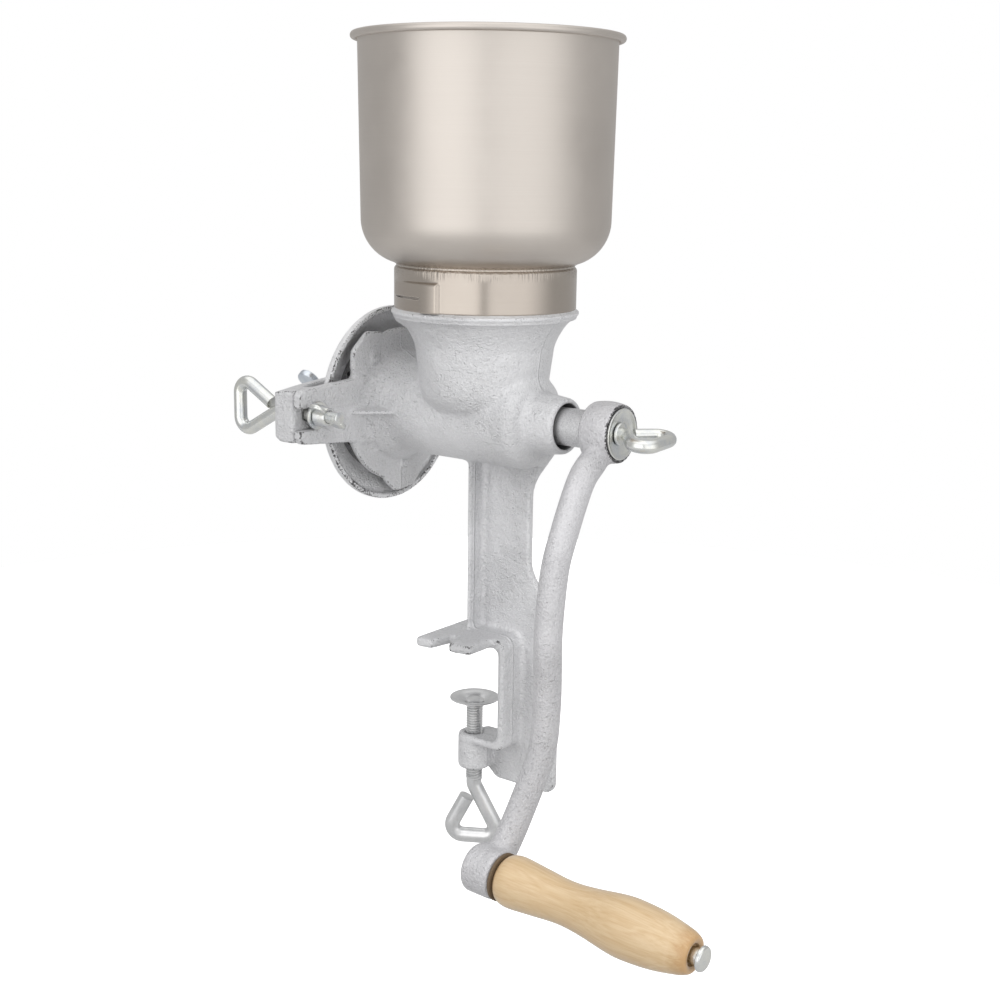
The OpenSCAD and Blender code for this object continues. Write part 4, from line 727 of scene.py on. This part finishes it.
def add_thread(bm, radius, pitch, low, high, place):
    """Adds a rolled thread between two heights of its own axis, in mm before it is placed."""
    fresh = bmesh.new()
    root = radius - 0.58 * pitch
    tooth = [(root, 0), (root, 0.16), (radius, 0.46), (radius, 0.62), (root, 0.92), (root, 1)]
    line = [fresh.verts.new((r * MM, 0, (low - 1.5 * pitch + z * pitch) * MM)) for r, z in tooth]
    edges = [fresh.edges.new(pair) for pair in zip(line, line[1:])]
    turns = math.ceil((high - low) / pitch) + 2
    bmesh.ops.spin(fresh, geom=line + edges, cent=(0, 0, 0), axis=(0, 0, 1), angle=2 * math.pi * turns,
                   steps=24 * turns, dvec=(0, 0, pitch * MM / 24), use_merge=False, use_duplicate=False)
    bmesh.ops.remove_doubles(fresh, verts=fresh.verts, dist=2e-6)
    for height, side in ((low, -1), (high, 1)):
        bmesh.ops.bisect_plane(fresh, geom=fresh.verts[:] + fresh.edges[:] + fresh.faces[:], dist=1e-8,
                               plane_co=(0, 0, height * MM), plane_no=(0, 0, side), clear_outer=True)
    bmesh.ops.holes_fill(fresh, edges=[e for e in fresh.edges if e.is_boundary], sides=0)
    bmesh.ops.recalc_face_normals(fresh, faces=fresh.faces)
    bmesh.ops.transform(fresh, matrix=place, verts=fresh.verts)
    join(bm, fresh)


washer_line = [(3.4, 0.2), (3.6, 0), (7.0, 0), (7.3, 0.3), (7.3, 1.2), (7.0, 1.5), (3.6, 1.5), (3.4, 1.3)]
for side, name in ((-1, "front"), (1, "rear")):
    y = side * BOLT_Y
    lift = Matrix.Translation((0, 0, BOLT_RISE * MM))
    eye_place = lift @ Matrix(((-1, 0, 0, EYE_NECK_X * MM), (0, 0, 1, y * MM),
                               (0, 1, 0, SHAFT_H * MM), (0, 0, 0, 1)))
    bolt = bmesh.new()
    add_rod(bolt, eye_path(EYE_ROD_R, EYE_LEN, EYE_HALF, EYE_CORNER, 29, THREAD_START_X - EYE_NECK_X),
            EYE_ROD_R, eye_place)
    add_thread(bolt, BOLT_THREAD_R, BOLT_PITCH, THREAD_START_X - 1, BOLT_END_X, lift @ on_shaft(0, y))
    finish_piece(f"{name}_eye_bolt_rod", bolt, zinc, "body", "zinc_steel", f"{name}_eye_bolt", sharp=40)
    washer = turned(washer_line, steps=72, place=lift @ on_shaft(WASHER_X, y))
    finish_piece(f"{name}_washer_disc", washer, zinc, f"{name}_washer", "zinc_steel",
                 f"{name}_bolt_washer", sharp=30)
    finish_piece(f"{name}_wing_nut_cast", cast_skin(merged_copy(f"{name}_wing_nut"), 0.45, 4),
                 zinc, f"{name}_nut", "zinc_steel", f"{name}_wing_nut", sharp=0)

# Adjusting screw
# The screw in the yoke's boss that sets the grind through the ball. Its head is two flat ears,
# forged from the same bar and zinc plated; the plating is bluer here.
ADJUST_R, ADJUST_PITCH = 5.0, 1.5
BALL_X, HEAD_S, HEAD_TURN = -79.7625, 29.2, -40
HEAD_X = BALL_X - HEAD_S
EAR_OUT, EAR_S, EAR_LEAN, EAR_T = 10.4, 38.9, 14, 4.0
EAR_R = (6.2, 6.3)
blue_zinc = zinc_material("zinc_plate_blue", (0.70, 0.74, 0.78, 1), (0.60, 0.65, 0.71, 1), 0.26)
in_adjuster = Matrix(((0, 0, -1, BALL_X * MM), (0, 1, 0, 0), (1, 0, 0, SHAFT_H * MM), (0, 0, 0, 1)))
in_adjuster = in_adjuster @ Matrix.Rotation(math.radians(HEAD_TURN), 4, "Z")
head = turned([(0, HEAD_S), (6.75, HEAD_S), (6.2, 32.6), (5.0, 36.8), (0, 36.8)], steps=48, closed=False)
for side in (-1, 1):
    ear = bmesh.new()
    bmesh.ops.create_circle(ear, cap_ends=True, segments=48, radius=1.0)
    at = Matrix.Translation((side * EAR_OUT * MM, EAR_T / 2 * MM, EAR_S * MM))
    at = (at @ Matrix.Rotation(math.radians(side * EAR_LEAN), 4, "Y")
          @ Matrix.Diagonal((EAR_R[0] * MM, 1, EAR_R[1] * MM, 1)) @ Matrix.Rotation(math.radians(90),
                                                                                    4, "X"))
    bmesh.ops.transform(ear, verts=ear.verts, matrix=at)
    out = bmesh.ops.extrude_face_region(ear, geom=ear.faces[:])
    far_side = [v for v in out["geom"] if isinstance(v, bmesh.types.BMVert)]
    bmesh.ops.translate(ear, verts=far_side, vec=(0, -EAR_T * MM, 0))
    bmesh.ops.recalc_face_normals(ear, faces=ear.faces)
    join(head, ear)
head = cast_skin(head, 0.45, 3, 0.8)
bmesh.ops.transform(head, verts=head.verts, matrix=in_adjuster)
add_thread(head, ADJUST_R, ADJUST_PITCH, HEAD_X - 0.5, BALL_X - 2.4, on_shaft(0))
finish_piece("adjusting_screw_forged", head, blue_zinc, "adjuster", "zinc_steel", "adjusting_screw",
             sharp=40)

# Crank
# The S shaped crank arm with its hub and grip boss is one iron casting in the same paint, given as a
# darker copy that paints shade on it. A pressed cup washer fills the hub's face, and a bent rod thumb
# screw holds it all on the shaft's end.
CRANK_VOXEL = 0.85
# The crank's paint is a darker copy of the body's: painted shade; its extra pores are real.
crank_paint_shaded = paint_material("aluminium_paint_crank_shaded", 0.51, 0.55, 0.5, 0, pores=0.05,
                             light=(0.63, 0.625, 0.64, 1),
                             shade=(0.53, 0.525, 0.54, 1))
finish_piece("crank_skin", cast_skin(merged_copy("crank"), CRANK_VOXEL, 3, 1.2),
             crank_paint_shaded, "shaft", "casting", "crank", sharp=0)
CUP_X, THUMB_R, THUMB_NECK_X, EYE_DROOP, EYE_TWIST = 88.3, 3.4, 91.5, 5, 3
cup_line = [(3.7, 0), (8.0, 0.1), (10.8, 0.8), (12.4, 1.8), (13.0, 2.6), (13.0, 3.1), (12.7, 3.35),
            (12.2, 3.3), (11.7, 2.9), (10.4, 2.3), (8.6, 1.85), (6.5, 1.5), (3.7, 1.3)]
cup = turned(cup_line, steps=96, place=on_shaft(CUP_X))
finish_piece("cup_washer_pressed", cup, zinc, "cup", "zinc_steel", "cup_washer", sharp=40)
thumb = bmesh.new()
eye_place = (Matrix.Translation((THUMB_NECK_X * MM, 0, SHAFT_H * MM))
             @ Matrix.Rotation(math.radians(EYE_DROOP), 4,
                               "Y") @ Matrix.Rotation(math.radians(EYE_TWIST), 4, "X"))
add_rod(thumb, eye_path(THUMB_R, 22.5, EYE_HALF, EYE_CORNER, 50, 6), THUMB_R, eye_place)
add_thread(thumb, THUMB_R, 1.25, 73.7, 86.5, on_shaft(0))
seat_line = [(0, 89.9), (5.2, 89.9), (5.78, 90.3), (5.78, 91.0), (5.3, 91.5), (0, 91.5)]
seat = turned(seat_line, steps=48, closed=False, place=on_shaft(0))
join(thumb, seat)
finish_piece("crank_thumb_screw_rod", thumb, zinc, "thumb", "zinc_steel", "crank_thumb_screw", sharp=40)

# Grip
# A turned birch grip under clear varnish that spins on a riveted pin; a dark fibre washer keeps it
# off the crank, and the pin's head is peened over a little clear of the wood.
CRANK_LEN, CRANK_ANGLE, GRIP_LEAN, CRANK_MID_X = 222.0, 24.8, 1.9, 82.75
GRIP_S, GRIP_LEN, GRIP_R, PIN_R = 10.3, 107.0, 14.0, 3.9
BIRCH = (0.60, 0.45, 0.27, 1)
BIRCH_GRAIN = (0.44, 0.27, 0.12, 1)
in_grip = (on_shaft(CRANK_MID_X) @ Matrix.Rotation(math.radians(-CRANK_ANGLE), 4, "Z")
           @ Matrix.Translation((CRANK_LEN * MM, 0, 0))
           @ Matrix.Rotation(math.radians(GRIP_LEAN), 4, "Y"))
shares = [(0, 0.66), (0.012, 0.78), (0.03, 0.86), (0.075, 0.9), (0.187, 0.829), (0.33, 0.743),
          (0.45, 0.8), (0.61, 0.979), (0.7, 1), (0.82, 0.929), (0.935, 0.757), (0.97, 0.66),
          (0.982, 0.6), (0.986, 0.52)]


def smooth_line(points, steps):
    """A smooth curve through points."""
    line = []
    for k in range(len(points) - 1):
        a, b, c, d = (Vector(points[min(max(k + j, 0), len(points) - 1)]) for j in (-1, 0, 1, 2))
        for j in range(steps):
            t = j / steps
            line.append((2 * b + (c - a) * t + (2 * a - 5 * b + 4 * c - d) * t * t
                         + (3 * b - a - 3 * c + d) * t ** 3) / 2)
    return [tuple(p) for p in line] + [tuple(points[-1])]


wood_line = smooth_line([(r * GRIP_R, GRIP_S + s * GRIP_LEN) for s, r in shares], 5)
end_recess = [(6.1, GRIP_S + 0.984 * GRIP_LEN), (5.3, GRIP_S + 0.98 * GRIP_LEN),
              (4.9, GRIP_S + 0.965 * GRIP_LEN), (PIN_R + 0.1, GRIP_S + 0.963 * GRIP_LEN),
              (PIN_R + 0.1, GRIP_S)]
grip = turned(wood_line + end_recess, steps=96, place=in_grip)
birch, tree, shader, place = new_material("varnished_birch", Roughness=0.3, Coat_Weight=0.55,
                                          Coat_Roughness=0.12)
link = tree.links.new
along = put(tree, "ShaderNodeMapping", "along the pin", vector_type="TEXTURE")
along.inputs["Location"].default_value = in_grip.to_translation()
along.inputs["Rotation"].default_value = in_grip.to_euler()
link(place, along.inputs["Vector"])
fibres_at = put(tree, "ShaderNodeVectorMath", "long fibres", operation="MULTIPLY")
fibres_at.inputs[1].default_value = (1500, 1500, 45)
link(along.outputs[0], fibres_at.inputs[0])
fibres = put(tree, "ShaderNodeTexNoise", "fibres", Scale=1.0, Detail=4.0, Roughness=0.6)
link(fibres_at.outputs[0], fibres.inputs["Vector"])
figure_at = put(tree, "ShaderNodeVectorMath", "figure drawn out", operation="MULTIPLY")
figure_at.inputs[1].default_value = (150, 150, 14)
link(along.outputs[0], figure_at.inputs[0])
figure = put(tree, "ShaderNodeTexNoise", "figure", Scale=1.0, Detail=3.0, Distortion=0.6)
link(figure_at.outputs[0], figure.inputs["Vector"])
rings = put(tree, "ShaderNodeMath", "year rings", operation="MULTIPLY")
link(figure.outputs["Fac"], rings.inputs[0])
rings.inputs[1].default_value = 34.0
ring_wave = put(tree, "ShaderNodeMath", "ring wave", operation="SINE")
link(rings.outputs[0], ring_wave.inputs[0])
ring_share = put(tree, "ShaderNodeMapRange", "ring share", From_Min=-1.0, From_Max=1.0, To_Min=0.0,
                 To_Max=0.26)
link(ring_wave.outputs[0], ring_share.inputs["Value"])
fibre_share = put(tree, "ShaderNodeMapRange", "fibre share", From_Min=0.42, From_Max=0.75, To_Min=0.0,
                  To_Max=0.4)
link(fibres.outputs["Fac"], fibre_share.inputs["Value"])
grain_share = put(tree, "ShaderNodeMath", "grain", operation="ADD")
link(ring_share.outputs["Result"], grain_share.inputs[0])
link(fibre_share.outputs["Result"], grain_share.inputs[1])
split = tree.nodes.new("ShaderNodeSeparateXYZ")
link(along.outputs[0], split.inputs[0])
near_end = put(tree, "ShaderNodeMapRange", "near end", From_Min=(GRIP_S + 4) * MM,
               From_Max=GRIP_S * MM, To_Max=0.45)
far_end = put(tree, "ShaderNodeMapRange", "far end", From_Min=(GRIP_S + GRIP_LEN - 10) * MM,
              From_Max=(GRIP_S + GRIP_LEN - 1) * MM, To_Max=0.9)
for end in (near_end, far_end):
    link(split.outputs["Z"], end.inputs["Value"])
ends = put(tree, "ShaderNodeMath", "darker ends", operation="ADD")
link(near_end.outputs["Result"], ends.inputs[0])
link(far_end.outputs["Result"], ends.inputs[1])
dark = put(tree, "ShaderNodeMath", "dark share", operation="ADD", use_clamp=True)
link(grain_share.outputs[0], dark.inputs[0])
link(ends.outputs[0], dark.inputs[1])
colour = put(tree, "ShaderNodeMix", "birch", data_type="RGBA")
colour.inputs["A"].default_value = BIRCH
colour.inputs["B"].default_value = BIRCH_GRAIN
link(dark.outputs[0], colour.inputs["Factor"])
link(colour.outputs["Result"], shader.inputs["Base Color"])
bump = put(tree, "ShaderNodeBump", "bump", Strength=0.15, Distance=0.05 * MM)
link(fibres.outputs["Fac"], bump.inputs["Height"])
link(bump.outputs["Normal"], shader.inputs["Normal"])
finish_piece("grip_turned", grip, birch, "grip", "grip_wood", "grip", sharp=40)
pin = turned([(0, -8.8), (3.5, -8.8), (3.9, -8.4), (3.9, 118.9), (5.5, 118.9), (5.9, 119.3), (5.9, 120.0)]
             + arc(4.6, 120.0, 1.25, 0, 80, 4) + [(0, 121.26)], steps=64, closed=False, place=in_grip)
finish_piece("grip_pin_riveted", pin, zinc, "shaft", "zinc_steel", "grip_pin", sharp=35)
fibre, tree, shader, place = new_material("fibre_board", Roughness=0.75)
weave = put(tree, "ShaderNodeTexNoise", "felted fibres", Scale=1500.0, Detail=4.0)
tree.links.new(place, weave.inputs["Vector"])
colour = put(tree, "ShaderNodeMix", "fibre", data_type="RGBA")
colour.inputs["A"].default_value = (0.06, 0.04, 0.022, 1)
colour.inputs["B"].default_value = (0.20, 0.14, 0.085, 1)
tree.links.new(weave.outputs["Fac"], colour.inputs["Factor"])
tree.links.new(colour.outputs["Result"], shader.inputs["Base Color"])
bump = put(tree, "ShaderNodeBump", "bump", Strength=0.3, Distance=0.05 * MM)
tree.links.new(weave.outputs["Fac"], bump.inputs["Height"])
tree.links.new(bump.outputs["Normal"], shader.inputs["Normal"])
fibre_washer = turned([(4.05, 8.65), (11.3, 8.65), (11.7, 8.9), (11.7, 10.0), (11.3, 10.25),
                       (4.05, 10.25)], steps=72, place=in_grip)
finish_piece("grip_washer_punched", fibre_washer, fibre, "shaft", "fibre", "grip_washer", sharp=35)

# Clamp screw and pad
# A screw with a rolled thread whose lower end is bent into a triangular handle; the cone shaped
# pad is pressed sheet, peened loosely on its tip. Both are zinc plated, greyer than the bolts.
CLAMP_R, CLAMP_PITCH, CLAMP_NECK_Z, THREAD_TOP_Z, HANDLE_TURN = 4.6, 1.5, -82.0, -38.2, 120
HANDLE_ROD_R = 0.92 * CLAMP_R
grey_zinc = zinc_material("zinc_plate_grey", (0.80, 0.80, 0.80, 1), (0.68, 0.685, 0.69, 1), 0.31)
handle_place = (Matrix.Translation((0, 0, CLAMP_NECK_Z * MM))
                @ Matrix.Rotation(math.radians(HANDLE_TURN), 4, "Z")
                @ Matrix.Rotation(math.radians(90), 4, "Y"))
screw = bmesh.new()
add_rod(screw, eye_path(HANDLE_ROD_R, 34.4, 12, EYE_CORNER, 27, 2.1), HANDLE_ROD_R, handle_place)
add_thread(screw, CLAMP_R, CLAMP_PITCH, CLAMP_NECK_Z, THREAD_TOP_Z, Matrix.Identity(4))
tip_line = [(0, -38.6), (2.99, -38.6), (2.99, -36.3), (5.06, -36.3), (5.06, -35.65), (4.4, -35.1),
            (2.9, -35.0), (0, -35.0)]
tip = turned(tip_line, steps=48, closed=False)
join(screw, tip)
finish_piece("clamp_screw_rod", screw, grey_zinc, "clamp", "zinc_steel", "clamp_screw", sharp=40)
pad_line = [(3.09, -37.9), (6.44, -37.9), (7.1, -37.45), (7.74, -36.7), (10.96, -35.25), (13.0, -34.75),
            (13.65, -34.5), (13.7, -34.1), (13.5, -33.9), (12.4, -33.9), (9.04, -34.6), (6.44, -35.95),
            (5.7, -36.45), (5.14, -36.6), (3.09, -36.6)]
pad = turned(pad_line, steps=96)
finish_piece("clamp_pad_pressed", pad, grey_zinc, "pad", "zinc_steel", "clamp_pad", sharp=50)

# Floor, light and camera
# A plain pale floor under the clamp handle's travel, large soft lights, and the camera at the
# photograph's angle.
FLOOR_Z = -140.0
floor_paint, tree, shader, place = new_material("floor", Roughness=0.9, Specular_IOR_Level=0.1)
shader.inputs["Base Color"].default_value = (0.55, 0.55, 0.55, 1)
shader.inputs["Emission Color"].default_value = (1, 1, 1, 1)
seen = tree.nodes.new("ShaderNodeLightPath")
lit = put(tree, "ShaderNodeMath", "lit from below", operation="MULTIPLY")
lit.inputs[1].default_value = 0.85
tree.links.new(seen.outputs["Is Camera Ray"], lit.inputs[0])
tree.links.new(lit.outputs[0], shader.inputs["Emission Strength"])
floor_bm = bmesh.new()
bmesh.ops.create_circle(floor_bm, cap_ends=True, segments=96, radius=0.8)
bmesh.ops.translate(floor_bm, verts=floor_bm.verts, vec=(0, 0, FLOOR_Z * MM))
floor_mesh = bpy.data.meshes.new("floor")
floor_bm.to_mesh(floor_mesh)
floor_bm.free()
floor = bpy.data.objects.new("floor", floor_mesh)
floor.data.materials.append(floor_paint)
scene.collection.objects.link(floor)

world = bpy.data.worlds.new("studio")
scene.world = world
world.use_nodes = True
tree = world.node_tree
link = tree.links.new
surround = tree.nodes["Background"]
around = tree.nodes.new("ShaderNodeTexCoord").outputs["Generated"]
ahead = put(tree, "ShaderNodeVectorMath", "towards the camera", operation="DOT_PRODUCT")
link(around, ahead.inputs[0])
ahead.inputs[1].default_value = (0.608, -0.794, 0)
aside = put(tree, "ShaderNodeVectorMath", "to the right of the camera", operation="DOT_PRODUCT")
link(around, aside.inputs[0])
aside.inputs[1].default_value = (0.794, 0.608, 0)
turn = put(tree, "ShaderNodeMath", "turn from the camera", operation="ARCTAN2")
link(aside.outputs["Value"], turn.inputs[0])
link(ahead.outputs["Value"], turn.inputs[1])


def panel(label, left, right, soft, strength):
    """A tall soft panel of light between two turns, in degrees."""
    rise = put(tree, "ShaderNodeMapRange", label + " left edge", interpolation_type="SMOOTHSTEP",
               From_Min=math.radians(left - soft[0]), From_Max=math.radians(left + soft[0]))
    fall = put(tree, "ShaderNodeMapRange", label + " right edge", interpolation_type="SMOOTHSTEP",
               From_Min=math.radians(right - soft[1]), From_Max=math.radians(right + soft[1]),
               To_Min=strength, To_Max=0.0)
    lit = put(tree, "ShaderNodeMath", label, operation="MULTIPLY")
    link(turn.outputs[0], rise.inputs["Value"])
    link(turn.outputs[0], fall.inputs["Value"])
    link(rise.outputs["Result"], lit.inputs[0])
    link(fall.outputs["Result"], lit.inputs[1])
    return lit.outputs[0]


both = put(tree, "ShaderNodeMath", "both panels", operation="ADD")
link(panel("left panel", -66, -5.5, (12, 2.5), 1.0), both.inputs[0])
link(panel("right panel", 3.5, 72, (2.5, 26), 0.78), both.inputs[1])
split = tree.nodes.new("ShaderNodeSeparateXYZ")
link(around, split.inputs[0])
top_edge = put(tree, "ShaderNodeMapRange", "panels' top edge", interpolation_type="SMOOTHSTEP",
               From_Min=0.45, From_Max=0.85, To_Min=1.0, To_Max=0.2)
link(split.outputs["Z"], top_edge.inputs["Value"])
walls = put(tree, "ShaderNodeMath", "panels and walls", operation="MULTIPLY_ADD")
link(both.outputs[0], walls.inputs[0])
link(top_edge.outputs["Result"], walls.inputs[1])
ceiling = put(tree, "ShaderNodeMapRange", "walls and ceiling", interpolation_type="SMOOTHSTEP",
              From_Min=0.6, From_Max=0.9, To_Min=0.53, To_Max=1.3)
link(split.outputs["Z"], ceiling.inputs["Value"])
link(ceiling.outputs["Result"], walls.inputs[2])
seen = tree.nodes.new("ShaderNodeLightPath")
backdrop = put(tree, "ShaderNodeMix", "white behind", data_type="FLOAT")
link(seen.outputs["Is Camera Ray"], backdrop.inputs["Factor"])
link(walls.outputs[0], backdrop.inputs["A"])
backdrop.inputs["B"].default_value = 1.0
link(backdrop.outputs["Result"], surround.inputs["Strength"])
surround.inputs["Color"].default_value = (1, 1, 1, 1)


def soft_light(name, at, size, power, colour=(1, 1, 1)):
    lamp = bpy.data.lights.new(name, "AREA")
    lamp.shape = "RECTANGLE"
    lamp.size, lamp.size_y = size
    lamp.energy = power
    lamp.color = colour
    holder = bpy.data.objects.new(name, lamp)
    holder.location = at
    holder.rotation_euler = (Vector((0, 0, 0.1)) - Vector(at)).to_track_quat("-Z", "Y").to_euler()
    holder.visible_glossy = False
    scene.collection.objects.link(holder)


soft_light("key", (-0.8, -1.5, 0.95), (0.6, 0.8), 6.5)
soft_light("fill", (1.75, -0.3, 0.35), (0.8, 1.2), 9.5)
soft_light("top", (0.1, -0.1, 1.7), (1.4, 1.4), 2)

camera_data = bpy.data.cameras.new("camera")
camera_data.lens = 55.07
camera_data.sensor_width = 36
camera = bpy.data.objects.new("camera", camera_data)
right = Vector((0.791779, 0.610645, 0.014108))
up = Vector((-0.142374, 0.162047, 0.976458))
camera.matrix_world = Matrix((right, up, right.cross(up))).transposed().to_4x4()
camera.location = (0.4985, -0.6302, 0.2546)
scene.collection.objects.link(camera)
scene.camera = camera
scene.view_settings.view_transform = "Standard"
